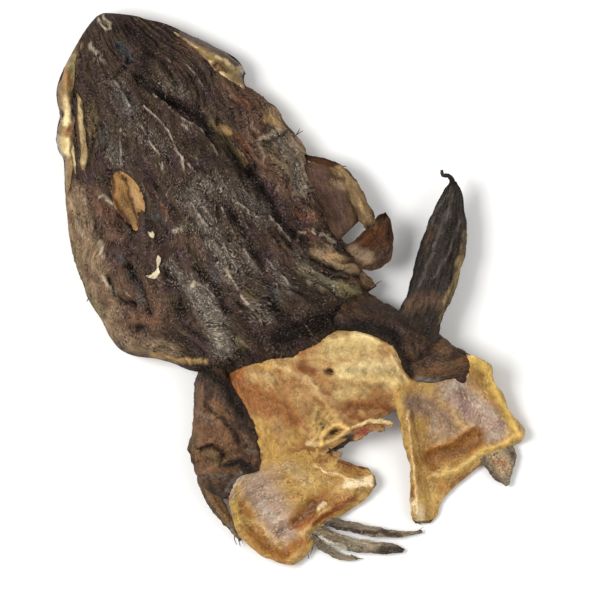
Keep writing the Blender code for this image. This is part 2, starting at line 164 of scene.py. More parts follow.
def waves(x, y, seed, octaves=2):
    """Smooth random relief, about -1 to 1, whose bumps are about one unit across."""
    total = 0.0
    for octave in range(octaves):
        turn = np.random.default_rng(seed * 10 + octave).uniform(0, 2 * np.pi, (128, 128))
        u = np.asarray(x * 2**octave, float)
        v = np.asarray(y * 2**octave, float)
        column = np.floor(u).astype(int)
        row = np.floor(v).astype(int)
        s = u - column
        t = v - row
        corner = []
        for down, along in ((0, 0), (0, 1), (1, 0), (1, 1)):
            lean = turn[(row + down) % 128, (column + along) % 128]
            corner.append(np.cos(lean) * (s - along) + np.sin(lean) * (t - down))
        s = s**3 * (s * (6 * s - 15) + 10)
        t = t**3 * (t * (6 * t - 15) + 10)
        upper = corner[0] + (corner[1] - corner[0]) * s
        lower = corner[2] + (corner[3] - corner[2]) * s
        total = total + 1.5 * (upper + (lower - upper) * t) / 1.8**octave
    return total


def creases(x, y, seed, sharpness=3.5):
    """Thin winding lines, 1 on each line and 0 away from it."""
    return np.clip(1 - sharpness * np.abs(waves(x, y, seed)), 0, 1) ** 1.5


def line_distance(line, x, y):
    """How far each place is from a line, which is given as x, y, x, y and so on."""
    nearest = np.full(np.broadcast(x, y).shape, 1e9)
    for ax, ay, bx, by in zip(line[::2], line[1::2], line[2::2], line[3::2]):
        dx, dy = bx - ax, by - ay
        s = np.clip(((x - ax) * dx + (y - ay) * dy) / (dx * dx + dy * dy), 0, 1)
        nearest = np.minimum(nearest, np.hypot(x - ax - s * dx, y - ay - s * dy))
    return nearest


def bell(distance, half_width):
    return np.exp(-((distance / half_width) ** 2))


def strokes(table, x, y):
    """The sum of strokes, each with its height, its half width and its line on the plan."""
    total = np.zeros(np.broadcast(x, y).shape)
    for height, half_width, *line in table:
        total += height * bell(line_distance(line, x, y), half_width)
    return total


HEAD_FOLDS = (  # height, half width, line
    (-7.5, 6.5, -28, 146, -12, 118, 2, 85, 9, 50, 14, 10, 24, -15), (-3, 5, -16, 127, -4, 112),
    (-4, 4.5, -66, 130, -63, 95), (-4, 5, -60, 60, -70, 5), (-6.5, 7, -70, 98, -70, 68),
    (2.6, 2, -83, 93, -80, 85, -80, 74, -76, 62), (2.2, 2, -64, 104, -58, 90, -57, 78, -60, 70),
    (-4, 4.5, 4, 98, 10, 64), (2, 2.4, 12, 96, 15, 75, 16, 60), (-3, 4, -84, 88, -84, 70),
    (-3.6, 3, -64, 172, -69, 161, -77, 147, -85, 128), (-2, 4, -66, 146, -74, 124),
    (-3, 5, -31, 172, -28, 162), (-2.4, 3, -21, 186, -21, 155, -18, 140),
    (-2.6, 1.8, -41, 156, -34, 157, -24, 162), (2.6, 3.2, -37, 186, -38, 172), (2.6, 4, -42, 152, -42, 132),
    (2.2, 3.4, -47, 178, -50, 155, -52, 125), (2, 3, -25, 130, -14, 108, -8, 88),
    (2.4, 3, -33, 62, -31, -25), (-2.6, 2, -14, 46, -12, 2), (-3, 3.4, -49, 25, -46, 8, -45, -8),
    (2.6, 3, -59, 14, -54, 17, -48, 9, -47, 2), (2.2, 4, -62, -8, -60, -26), (-2.4, 4, -14, -6, -18, -26),
    (2, 4, -6, -10, 0, -28), (-4.2, 6, 22, 28, 24, 6), (2.4, 1.6, 14, 11, 18, 15, 21, 13.5),
    (2.2, 1.6, 30, 38, 34, 39.5, 39, 34, 39, 28), (2, 3.4, 12, -6, 23, -26), (2.4, 3.4, 24, -2, 39, -22),
    (-2.4, 2, 17, -3, 28, -17, 39, -27), (2, 3, 36, 68, 38, 48, 36, 34), (2.8, 5, 33, 90, 37, 85),
    (-1.8, 2, 22, 74, 30, 76, 40, 76), (1.8, 1.6, 18, 66, 20, 68, 21, 77),
    (-3.6, 2.2, -103, 44, -104, 34, -101, 26, -96, 22), (-2.6, 2.4, -88, 46, -86, 30, -89, 12),
    (1.6, 4, -96, 46, -94, 34, -97, 28), (-3, 3, -102, 8, -98, 6), (1.4, 1.4, -105.5, 46, -104, 34),
    (-2, 2, -92, 64, -84, 58, -80, 48), (-2.4, 4, -80, 4, -77, -14, -72, -28),
    (1.8, 2.4, -100, -11, -83, -24, -72, -30), (-3, 2.6, 30, 127, 20, 134),
    (2, 2.4, 9, 157, 17, 146, 21, 136), (-2, 1.6, 14, 158, 22, 146),
)
SKIN_LINES = (  # the thin raised creases of the crown and the snout: height, line
    (0.9, -43, 159, -41.5, 146, -41, 134), (1.5, -40.5, 124, -40, 108, -37.5, 95, -41, 88.5, -40, 82),
    (1.5, -33, 130, -28.5, 119, -26.5, 108, -27.5, 95, -26.5, 90, -29, 82), (1.1, -26.5, 90, -23, 78),
    (1, -54, 123, -58, 113, -62.5, 104), (1.3, -25, 134, -15, 112, -8.5, 102, -6.5, 93, -5.5, 82),
    (0.9, -46, 73, -41.5, 76.5, -24, 75.5, -13, 76.5, -6.5, 74.5), (0.9, -6.5, 152, -5.5, 143.5),
    (0.9, 1.5, 147, 4, 137, 5.5, 126), (1.7, -34, 62, -33, 50, -31, 41), (1.4, -29.5, 62, -27, 48),
    (1, -23, 51, -21, 54, -18.5, 53, -18, 49), (1.4, -15.5, 58.5, -9, 50.5, -2, 38),
    (1.6, -2, 36, 0.5, 35, 5.5, 34, 6.5, 28, 8.5, 20, 10.5, 13), (1.2, -38, 39, -36, 30),
    (1.6, -28, 30, -27, 12), (1.2, -26.5, 31, -24, 28, -20.5, 27.5), (1, -18.5, 50, -19, 32),
    (1.5, -33, 15, -33, 8, -32, 0, -31, -11), (1.2, -18, 19, -17, 12, -19, 5), (1, -38, 22, -37, 16),
    (1.2, -60, 14, -55, 17.5, -50, 11, -48, 3), (1, 1, 19, 3, 7), (1.3, -8, 10, -5, 0, -3, -10),
    (0.9, -25.5, 7, -22, 2.5, -20.5, -1.5), (0.8, -16, -6, -12, -4.5, -9, -8),
    (0.9, -30, -16, -28, -22, -29, -27), (0.8, -20, -16, -17, -19, -13, -22),
    (0.8, -49, 66, -52, 60, -56, 56),
)


def head_edges(y):
    left = profile([(place, left) for place, left, _ in HEAD_EDGES], y)
    right = profile([(place, right) for place, _, right in HEAD_EDGES], y)
    return left, right


def skin_folds(across, along):
    """Folds and creases of the dried skin, in millimetres, by place on the skin."""
    folds = 1.6 * waves(across / 12, along / 36, 11) + 0.7 * waves(across / 5, along / 14, 16)
    return folds - 0.6 * creases(across / 13, along / 34, 12) - 0.4 * creases(across / 6, along / 18, 15, 5.0)


def head_surface(x, y, across):
    """Height of the head without its small relief. across is -1 at the left edge and 1 at the right edge."""
    cheek = (1 - np.minimum(np.abs(across), 1.0) ** CHEEK_ROUNDNESS) ** 0.5
    from_crown = (x - profile(CROWN_X, y)) / profile(CROWN_HALF_WIDTH, y)
    crown = np.clip(1 - from_crown**2, 0, 1) ** CROWN_ROUNDNESS
    height = RIM_HEIGHT + profile(CHIN_LIFT, y) + CHEEK_RISE * profile(CHEEK_PROFILE, y) * cheek
    height += CROWN_RISE * profile(CROWN_PROFILE, y) * crown * cheek
    wanders = 2.0 * waves(x / 18, y / 24, 5)
    return height + strokes(HEAD_FOLDS, x + wanders, y) * np.clip(2 * cheek, 0, 1)


def on_head(x, y, lift=0.0):
    """Height of the head's skin over a place on the plan."""
    left, right = head_edges(y)
    return head_surface(x, y, (2 * x - left - right) / (right - left)) + lift


def head_belly(x, y, across):
    """The belly side: flat beside a shallow throat, curling up to the rim, and lifted under the chin."""
    curl = np.clip((np.abs(across) - FLAT_SHARE) / (1 - FLAT_SHARE), 0, 1)
    hollow = np.clip(1 - ((x - THROAT_X) / THROAT_HALF_WIDTH) ** 2, 0, 1) ** 2
    hollow = hollow * np.maximum(profile(THROAT_PROFILE, y), 0)
    jaw = np.clip(1 - np.abs(np.abs(across) - 0.55) / 0.12, 0, 1) * 1.6
    pleats = 1.1 + 0.9 * waves(across * 14, y / 45, 21) - jaw
    lift = np.maximum(profile(CHIN_LIFT, y), 0)
    return lift + RIM_HEIGHT * (1 - (1 - curl**2) ** 0.5) + hollow + np.clip(pleats, 0, 3) * (1 - curl)


def closed_mesh(name, rings):
    """A closed mesh through rings of points, each end shut by a fan round its middle."""
    count, around = rings.shape[:2]
    ends = rings[[0, -1]].mean(axis=1)
    spots = np.concatenate([rings.reshape(-1, 3), ends])
    step = np.arange(around)
    after = (step + 1) % around
    ring = np.arange(count - 1)[:, None] * around
    corners = (ring + step, ring + after, ring + around + after, ring + around + step)
    quads = np.stack(corners, -1).reshape(-1, 4)
    start = np.stack([np.full(around, count * around), after, step], -1)
    final = (count - 1) * around
    end = np.stack([np.full(around, count * around + 1), final + step, final + after], -1)
    mesh = bpy.data.meshes.new(name)
    mesh.from_pydata((spots * MM).tolist(), [], quads.tolist() + start.tolist() + end.tolist())
    a, b, c = (spots[quads[:, i]] for i in range(3))
    if np.einsum("ij,ij->", a, np.cross(b, c)) < 0:
        mesh.flip_normals()
    mesh.shade_smooth()
    piece = bpy.data.objects.new(name, mesh)
    scene.collection.objects.link(piece)
    return piece, spots


def with_ends(grid):
    """Values for every point of a closed mesh, from a grid of values over its rings."""
    return np.concatenate([grid.reshape(-1), grid[[0, -1]].mean(axis=1)])


def lay_run(piece, across, along):
    """Stores each point's place across and along the piece, in millimetres, for grain along its length."""
    layer = piece.data.attributes.new("run", "FLOAT_VECTOR", "POINT")
    layer.data.foreach_set("vector", np.stack([across, along, 0 * along], -1).astype(np.float32).reshape(-1))


def lay_cover(piece, name, cover):
    layer = piece.data.attributes.new(name, "FLOAT", "POINT")
    layer.data.foreach_set("value", np.clip(cover, -1, 1).astype(np.float32))


def lay_relief_shade(piece, heights, depth):
    """Stores how far each point of a grid stands above or below its neighbours, times depth, as painted light
    and shade.
    """
    relief_shade = 0.0
    for reach in (3, 6):
        near = [np.roll(heights, step, axis) for step in (reach, -reach) for axis in (0, 1)]
        relief_shade = relief_shade + heights - sum(near) / 4
    lay_cover(piece, "relief_shade", with_ends(depth * relief_shade))


def lay_tints(piece, spots, table):
    """Stores how far each tint covers each point. The lines wander a little, so no edge is ruled.

    A tint without patches is laid where its piece is made.
    """
    x = spots[:, 0] + 1.3 * waves(spots[:, 0] / 7, spots[:, 1] / 7, 31)
    y = spots[:, 1] + 1.3 * waves(spots[:, 0] / 7, spots[:, 1] / 7, 32)
    for name, (_, patches) in table.items():
        cover = np.zeros(len(spots))
        for strength, half_width, *line in patches:
            cover = np.maximum(cover, strength * bell(line_distance(line, x, y), half_width))
        if patches:
            lay_cover(piece, name, cover)


def add(tree, kind, sockets, **settings):
    """A shader node with its settings, and its sockets set or joined."""
    made = tree.nodes.new("ShaderNode" + kind)
    for setting, value in settings.items():
        setattr(made, setting, value)
    for socket, value in sockets.items():
        if isinstance(value, bpy.types.NodeSocket):
            tree.links.new(value, made.inputs[socket])
        else:
            made.inputs[socket].default_value = value
    return made


def grain(tree, place, size, stretch=1.0, detail=3.0, offset=0.0):
    """Noise, 0 to 1, whose bumps are size millimetres across and stretch times as long as wide."""
    scale = (1 / size, 1 / size / stretch, 1 / size)
    scaled = add(tree, "Mapping", {"Vector": place, "Location": (offset, offset, offset), "Scale": scale})
    return add(tree, "TexNoise", {"Vector": scaled.outputs[0], "Scale": 1.0, "Detail": detail}).outputs["Fac"]


def ramp(tree, value, start, end, low=0.0, high=1.0):
    sockets = {"Value": value, "From Min": start, "From Max": end, "To Min": low, "To Max": high}
    return add(tree, "MapRange", sockets).outputs[0]


def sums(tree, operation, first, second):
    return add(tree, "Math", {0: first, 1: second}, operation=operation).outputs[0]


def blend(tree, share, under, over, kind="MIX"):
    mixed = add(tree, "Mix", {0: share, 6: under, 7: over}, data_type="RGBA", blend_type=kind)
    return mixed.outputs[2]


def opaque(colour):
    return (*colour, 1.0)


def dried_finish(
    name, grounds, table, stretch, breakup, speckle, cloud, cracks, dust, roughness, gloss, bump, dusty=0.0,
):
    """Dried skin, flesh or bone: patchy ground shades, the tints laid on it, uneven grit, creases and a
    bloom.

    stretch is how much longer than wide the grain is, and breakup how far it breaks up the tints' edges.
    speckle and cloud are how far fine grain and broad clouds darken and lighten it. The argument after cloud
    is how dark the creases are painted, as painted shade, and how deep their bump is. dust is the bloom's
    colour and its share, and dusty its share more on the tint "dusty". bump is the grain's height in
    millimetres. Ridges are painted lighter and hollows darker by the stored relief attribute, as painted
    light and shade.
    """
    material = bpy.data.materials.new(name)
    material.use_nodes = True
    tree = material.node_tree
    run = add(tree, "Attribute", {}, attribute_name="run").outputs["Vector"]
    broad = grain(tree, run, 8.0, 1 + stretch / 3, 2.0, 7.0)
    patches = grain(tree, run, 3.2, 1 + stretch / 5)
    fine = grain(tree, run, 1.7, stretch)
    dots = grain(tree, run, 1.1, 1.15, 1.0)
    gritty = ramp(tree, grain(tree, run, 6.0, 1.5, 2.0, 43.0), 0.40, 0.60, 0.25, 1.0)
    wander = sums(tree, "SUBTRACT", grain(tree, run, 5.0, 1 + stretch / 2, 2.5, 57.0), 0.5)
    crease = ramp(tree, sums(tree, "ABSOLUTE", wander, 0.0), 0.0, 0.035)
    colour = opaque(grounds[0])
    for index, shade in enumerate(grounds[1:]):
        field = grain(tree, run, 9.0 + 3 * index, 1 + stretch / 5, 2.0, 31.0 * index)
        colour = blend(tree, ramp(tree, field, 0.40, 0.60), colour, opaque(shade))
    noise = sums(tree, "ADD", sums(tree, "MULTIPLY", patches, 0.65), sums(tree, "MULTIPLY", fine, 0.35))
    noise = sums(tree, "MULTIPLY", sums(tree, "SUBTRACT", noise, 0.5), breakup)
    for tint, (shade, _) in table.items():
        cover = add(tree, "Attribute", {}, attribute_name=tint).outputs["Fac"]
        patchy = ramp(tree, sums(tree, "ADD", cover, noise), 0.18, 0.76)
        kept = sums(tree, "MULTIPLY", patchy, ramp(tree, cover, 0.0, 0.12))
        colour = blend(tree, kept, colour, opaque(shade))
    tone = sums(tree, "ADD", ramp(tree, fine, 0.32, 0.68, -0.6, 0.7), ramp(tree, dots, 0.32, 0.68, -1.0, 1.2))
    tone = sums(tree, "MULTIPLY", tone, sums(tree, "MULTIPLY", gritty, speckle))
    clouds = ramp(tree, broad, 0.34, 0.66, -0.9, 1.0)
    clouds = sums(tree, "ADD", clouds, ramp(tree, patches, 0.32, 0.68, -0.6, 0.7))
    tone = sums(tree, "ADD", tone, sums(tree, "MULTIPLY", clouds, cloud))
    # Painted shade: the tone darkens along the creases.
    tone = sums(tree, "ADD", tone, ramp(tree, crease, 0.0, 1.0, 1.0 - cracks, 1.0))
    # Painted light and shade: ridges lighter and hollows darker by the stored relief attribute.
    relief_shade = add(tree, "Attribute", {}, attribute_name="relief_shade").outputs["Fac"]
    tone = sums(tree, "ADD", tone, ramp(tree, relief_shade, -1.0, 1.0, -0.7, 0.7))
    colour = blend(tree, 1.0, colour, sums(tree, "MAXIMUM", tone, 0.15), "MULTIPLY")
    share = dust[1]
    if dusty:
        cover = add(tree, "Attribute", {}, attribute_name="dusty").outputs["Fac"]
        share = sums(tree, "ADD", sums(tree, "MULTIPLY", cover, dusty), dust[1])
    specks = sums(tree, "MULTIPLY", ramp(tree, dots, 0.50, 0.64), ramp(tree, fine, 0.38, 0.60))
    specks = sums(tree, "MULTIPLY", specks, gritty)
    colour = blend(tree, sums(tree, "MULTIPLY", specks, share), colour, opaque(dust[0]))
    relief = sums(tree, "ADD", fine, sums(tree, "MULTIPLY", dots, gritty))
    relief = sums(tree, "ADD", relief, sums(tree, "MULTIPLY", crease, 2 * cracks))
    bumped = add(tree, "Bump", {"Height": relief, "Strength": 0.9, "Distance": bump * MM})
    shader = tree.nodes["Principled BSDF"]
    tree.links.new(colour, shader.inputs["Base Color"])
    tree.links.new(ramp(tree, fine, 0.3, 0.7, roughness[0], roughness[1]), shader.inputs["Roughness"])
    tree.links.new(bumped.outputs[0], shader.inputs["Normal"])
    shader.inputs["Specular IOR Level"].default_value = gloss
    return material


def dress(piece, spots, grounds, table, **finish):
    """Lays the tints on a piece and gives it the finish that shows them."""
    lay_tints(piece, spots, table)
    piece.data.materials.append(dried_finish(piece.name, grounds, table, **finish))


HEAD_GROUNDS = ((0.030, 0.018, 0.013), (0.052, 0.031, 0.021), (0.038, 0.021, 0.021), (0.040, 0.026, 0.016))
HEAD_DUST = ((0.370, 0.310, 0.245), 0.26)
HEAD_TINTS = {  # each tint's colour, then its patches: strength, half width, line
    "tan": ((0.215, 0.142, 0.082), (
        (0.8, 12, -106, 98, -114, 16), (0.6, 9, -110, 0, -90, -14), (0.6, 12, -98, 100, -104, 80),
        (1, 7, 38, 92, 42, 70, 40, 46), (0.7, 6, 28, 66, 31, 52), (0.85, 6, 22, 0, 38, -22),
        (0.5, 5, -62, 178, -54, 184), (0.5, 3, 28, 40, 34, 30),
    )),
    # Brown: the cheeks' brown skin, and painted shade on the slope right of the crown's valley.
    "brown_and_shade": ((0.095, 0.052, 0.033), (
        (0.75, 8, -88, 96, -86, 76, -88, 62), (0.75, 11, -104, 16, -88, 8, -84, 24),
        (0.6, 5, -110, 92, -104, 84, -108, 74), (0.6, 5, -114, 56, -108, 46, -112, 30),
        (0.5, 8, -98, 50, -96, 30), (0.8, 9, 20, 118, 30, 104, 20, 84), (0.7, 5, 6, 158, 14, 146),
        (0.8, 6, 16, 82, 18, 60, 22, 44), (0.7, 5, 36, -26, 42, -36), (0.6, 4, -72, 146, -80, 130),
        (0.5, 7, -50, 44, -40, 36), (0.5, 6, 0, 20, 6, 0), (0.6, 6, 26, 30, 34, 16),
    )),
    "plum": ((0.048, 0.027, 0.025), (
        (0.9, 6, -12, 120, -6, 108), (0.8, 6, 12, 50, 15, 12), (0.7, 6, -46, 8, -46, -8),
        (0.7, 6, -8, 12, -10, -2), (0.6, 6, -90, 60, -80, 52, -76, 44),
    )),
    "rust": ((0.11, 0.046, 0.023), (
        (0.7, 2.8, 21, 27, 25, 22, 30, 20), (0.6, 2.2, 23, 15, 24, 6), (0.6, 3, 22, 108, 28, 100),
        (0.6, 2.6, 8, 90, 12, 84, 12, 72), (0.4, 4, -86, 88, -82, 76), (0.6, 2, -51, 68, -51, 61),
        (0.4, 5, -98, 14, -88, 6), (0.5, 3, 34, -24, 38, -32), (0.6, 3, 12, 157, 18, 153),
    )),
    "ochre_and_shade": ((0.27, 0.165, 0.064), (
        (0.95, 2.6, 2, 98, 7, 92), (0.7, 2.2, 7, 79, 8, 70), (0.9, 2.2, -100, -12, -83, -25, -72, -31),
        (0.6, 4.2, 33, 90, 37, 84), (0.5, 3, 20, 132, 22, 127), (0.4, 3, -66, 140, -71, 130),
        (0.6, 2.4, 28, -6, 36, -16),
    )),
    "olive": ((0.13, 0.102, 0.048), (
        (0.8, 4, -119, 66, -121, 44, -118, 26), (0.6, 4, -105, 108, -99, 118), (0.6, 3, -115, 84, -116, 60),
        (0.8, 5, 18, -22, 36, -36), (0.8, 4.5, 10, -6, 22, -25), (0.5, 4, -28, -3, -27, -12, -29, -22),
        (0.5, 4, 24, 74, 30, 60, 33, 46), (0.6, 4, 0, 102, 6, 72), (0.5, 4, -64, 146, -68, 134),
        (0.8, 2.6, -33, 15, -32, 10), (0.5, 3, -48, -28, -46, -34), (0.6, 1.4, -31, 192, -31, 187),
    )),
    "slate": ((0.05, 0.052, 0.05), (
        (0.5, 4, -58, 66, -56, 61), (0.7, 4.6, -30, 172, -27, 162), (0.6, 2.4, -91, 54, -90, 50),
        (0.6, 2.2, -89, 40, -88, 30, -91, 20), (0.6, 5, -44, 146, -42, 132), (0.5, 5, -64, 128, -62, 108),
        (0.6, 4, -14, -8, -13, -15), (0.5, 4, -42, 18, -41, 12),
    )),
    "dusty": ((0.092, 0.074, 0.058), (
        (0.6, 9, -33, 66, -31, 10), (1, 7, -58, 14, -54, -8, -58, -28),
        (0.7, 3, -60, 14, -55, 18, -50, 10, -47, 2), (0.5, 3.4, -53, 51, -46, 51),
        (0.5, 9, -22, 70, -6, 56, 2, 34), (0.42, 7, -66, 122, -64, 106), (0.6, 7, 34, 72, 36, 58, 32, 40),
        (0.55, 5, 10, 4, 14, -12, 22, -25), (0.34, 7, -18, 140, -8, 126),
        (0.34, 9, -42, 150, -46, 126, -34, 100), (0.55, 5, -6, 4, -3, -14), (0.5, 4, -18, 26, -18, 4),
        (0.5, 3, -16, 108, -14, 104), (0.6, 5, -64, 34, -62, 22), (0.5, 5, -30, -14, -22, -24),
    )),
    "pale": ((0.34, 0.275, 0.185), (
        (0.7, 1.3, -33.5, 194, -33.5, 186), (0.7, 1.1, -29.5, 194, -29, 187),
        (0.8, 1.3, -33, 185, -29.5, 185), (0.6, 2, -45, 181, -45, 175), (0.45, 1.5, -44, 170, -43, 166),
        (0.6, 1.5, -84.5, 93, -81.5, 92, -79.5, 85), (0.5, 2.4, 22, 79, 28, 78, 36, 79),
        (0.35, 1.6, 20.5, 77, 20, 68, 17.5, 65.5), (0.45, 1.5, 14.5, 11, 17.5, 15, 21, 13.5),
        (0.45, 1.5, 31, 38, 35, 39.5, 39, 34, 39.5, 29), (0.6, 1.4, 26.5, 13, 27.5, 11),
        (0.6, 1.6, 30, 8, 32.5, 6, 35, 0), (0.6, 1.8, 39, 54, 38, 46), (0.6, 1.8, 41, 70, 40, 61),
        (0.6, 1.8, -105.5, 46, -104, 34), (0.5, 2.4, -104, 86, -106, 76), (0.5, 2.4, -98, 66, -99, 58),
        (0.4, 2, -92, 102, -94, 94), (0.5, 2.6, -51, 51, -47, 51), (0.45, 2.2, -33, 14, -32, 10),
        (0.5, 1.4, -16, 109, -15, 105), (0.5, 1.4, -52.5, 124, -52, 121),
        (0.5, 1.6, -57.5, 15, -54, 17, -53, 15), (0.5, 1.2, 7, 162, 12, 151), (0.4, 1.6, 9, -14, 10, -17),
        (0.45, 3, -56, -16, -58, -26),
    )),
    # Near-black: painted shade in the grooves of the folds, round the eye socket and in the band above the
    # nape cut, and dark skin by the snout and along the right lip.
    "black_and_shade": ((0.008, 0.005, 0.004), (
        (0.6, 6, -24, 182, -14, 174, -15, 160, -24, 150),
        (0.8, 3.4, -27, 148, -22, 134, -12, 120, -4, 106, -3, 96),
        (0.7, 2.8, 1, 86, 3, 70, 8, 60, 10, 44, 11, 24, 17, 10), (1, 7, -24, -38, 34, -45),
        (0.7, 4, -20, -18, -15, -30), (0.6, 4, -78, -34, -66, -40, -52, -38),
        (0.7, 1.2, -103, 44, -104, 34, -100, 26, -94, 22), (0.7, 1.3, -87, 46, -86, 30, -88.5, 12),
        (0.7, 1.8, -102, 8, -98, 7), (0.5, 1.6, -64, 167, -75, 149, -80, 138, -84, 127),
        (0.7, 1.3, -58, 92, -58.5, 80, -65, 64, -68, 60), (0.7, 1.3, -77.5, 88, -78.5, 76, -75, 66),
        (0.8, 2, 8, 64, 4, 61), (0.7, 1.4, 17, -3, 28, -17, 39, -27), (0.6, 1.2, 22, 74, 40, 76),
        (0.5, 3, 14, 158, 24, 146, 31, 134, 33, 122), (0.8, 1.8, -51, 25, -48, 18, -45.5, 6),
        (0.7, 2.4, -46, 4, -45, -10), (0.7, 1.6, -41, 156, -34, 157), (0.7, 2, -14, 40, -13, 4),
        (0.7, 1.6, -35, 40, -31, 34, -29.5, 30),
    )),
    "line": ((0.230, 0.185, 0.145), ()),
    "belly": ((0.180, 0.115, 0.068), ()),
    # Near-black: painted shade in the slit of the mouth.
    "mouth": ((0.020, 0.010, 0.007), ()),
}

HEAD_ROWS = 305
TOP_COLUMNS = 232
BELLY_COLUMNS = 92
MOUTH_CORNER = 112.0
MOUTH_CORNER_LENGTH = 12.0
MOUTH_TURN = 0.13
MOUTH_DEPTH = 6.5
MOUTH_DEPTH_LIMIT = 0.25  # of half the head's width
LEFT_FLANK = -70.0  # the skin is smoother beyond this
share = np.linspace(0, 1, HEAD_ROWS)[:, None]
share = 0.82 * share + 0.18 * (1 - np.cos(np.pi * share)) / 2
y = SNOUT_TIP + (NAPE_END - SNOUT_TIP) * share
top = np.linspace(0, 1, TOP_COLUMNS, endpoint=False)
belly = np.linspace(0, 1, BELLY_COLUMNS, endpoint=False)
across = np.concatenate([0.4 * (1 - 2 * top) + 0.6 * np.cos(np.pi * top), -np.cos(np.pi * belly)])[None, :]
column = np.arange(TOP_COLUMNS + BELLY_COLUMNS)
upper = (column < TOP_COLUMNS)[None, :]
left, right = head_edges(y)
half = (right - left) / 2
mouth = np.clip((y - MOUTH_CORNER) / MOUTH_CORNER_LENGTH, 0, 1)
mouth = mouth * bell(np.arccos(np.abs(across)), MOUTH_TURN) * upper
x = (left + right) / 2 + across * (half - np.minimum(MOUTH_DEPTH * mouth, MOUTH_DEPTH_LIMIT * half))
nape_share = np.clip((NAPE_START - y) / (NAPE_START - NAPE_END), 0, 1)
y = y + (profile(NAPE_CUT, x) - NAPE_MIDDLE) * nape_share * (1 - across**2)
closing = np.clip((1 - share) * (SNOUT_TIP - NAPE_MIDDLE) / CLOSING_LENGTH, 0, 1)
closing = 0.25 + 0.75 * (1 - (1 - closing) ** 2) ** 0.5
under = head_belly(x, y, across)
over = under + (head_surface(x, y, across) - under) * closing
front = np.clip(share * (SNOUT_TIP - NAPE_END) / SNOUT_ROUND, 0, 1)
front = 0.15 + 0.85 * (1 - (1 - front) ** 2) ** 0.5
z = SNOUT_FRONT + (np.where(upper, over, under) - SNOUT_FRONT) * front

# Place on the skin: its way round from the crown, with the folds' fan from snout to nape straightened.
step_x = np.roll(x, -1, axis=1) - x
step_z = np.roll(z, -1, axis=1) - z
walk = np.cumsum(np.hypot(step_x, step_z), axis=1)
around_once = walk[:, [-1]]
walk = walk - walk[:, [TOP_COLUMNS // 2]]
walk = np.where(column > TOP_COLUMNS + BELLY_COLUMNS // 2, walk - around_once, walk)
skin_across = -walk / ((225 - y) / 250) ** 0.55 + 5 * waves(x / 45, y / 60, 3)
skin_along = y + 4 * waves(x / 25, y / 30, 4)

# The relief pushes the skin out or in, square to it round each ring.
lines = 0.0
for height, *line in SKIN_LINES:
    lines = lines + 0.9 * height * bell(line_distance(line, x, y), 0.75)
    lines = lines - 0.4 * height * bell(line_distance(line, x - 1.6, y), 1.0)
lines = lines * np.clip(0.9 + 0.8 * waves(x / 7, y / 9, 17), 0, 1)
gathers = creases(skin_across / 7, skin_along / 36, 19, 7.0)
gathers = gathers + creases(skin_across / 4, skin_along / 22, 20, 6.0)
lines = lines + 0.55 * gathers * np.clip(0.3 + waves(x / 16, y / 20, 22), 0, 1) * upper
calm = 1 - 0.5 * np.clip((LEFT_FLANK - x) / 14, 0, 1)
folds = skin_folds(skin_across, skin_along) * calm
crumple = 0.35 * waves(skin_across / 2.6, skin_along / 3.4, 13)
crumple = crumple + 0.35 * waves(skin_across / 1.4, skin_along / 1.6, 14)
raised = (folds + crumple * calm + lines) * np.where(upper, 1.0, 0.5 * np.abs(across))
raised = raised * np.minimum(1, share * 12)
side_x = np.roll(x, -1, axis=1) - np.roll(x, 1, axis=1)
side_z = np.roll(z, -1, axis=1) - np.roll(z, 1, axis=1)
side = np.maximum(np.hypot(side_x, side_z), 1e-6)
low = np.where(upper, 0.2, np.minimum(z, 0.2))
rings = np.stack([x + raised * side_z / side, y, np.maximum(z - raised * side_x / side, low)], -1)
head, head_spots = closed_mesh("head_skin", rings)
lay_run(head, with_ends(skin_across), with_ends(skin_along))
# Painted light and shade: the ridges of the head's folds and lines are painted lighter, the hollows darker.
lay_relief_shade(head, (folds + lines + 0.5 * strokes(HEAD_FOLDS, x, y)) * upper, 0.36)
lay_cover(head, "line", with_ends(0.7 * np.clip(lines - 0.15, 0, 1)))
belly_tint = np.where(upper, 0.0, np.clip((1 - np.abs(across)) / 0.15, 0, 0.9)) + 0 * x
lay_cover(head, "belly", with_ends(belly_tint))
# Painted shade: the slit of the mouth at its front corners is painted near-black.
lay_cover(head, "mouth", with_ends(0.9 * mouth))
dress(
    head, head_spots, HEAD_GROUNDS, HEAD_TINTS,
    stretch=1.3, breakup=0.8, speckle=0.46, cloud=0.32, cracks=0.25, dust=HEAD_DUST,
    roughness=(0.52, 0.80), gloss=0.06, bump=0.5, dusty=1.3,
)
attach(head, "root")
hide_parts("stockfish")


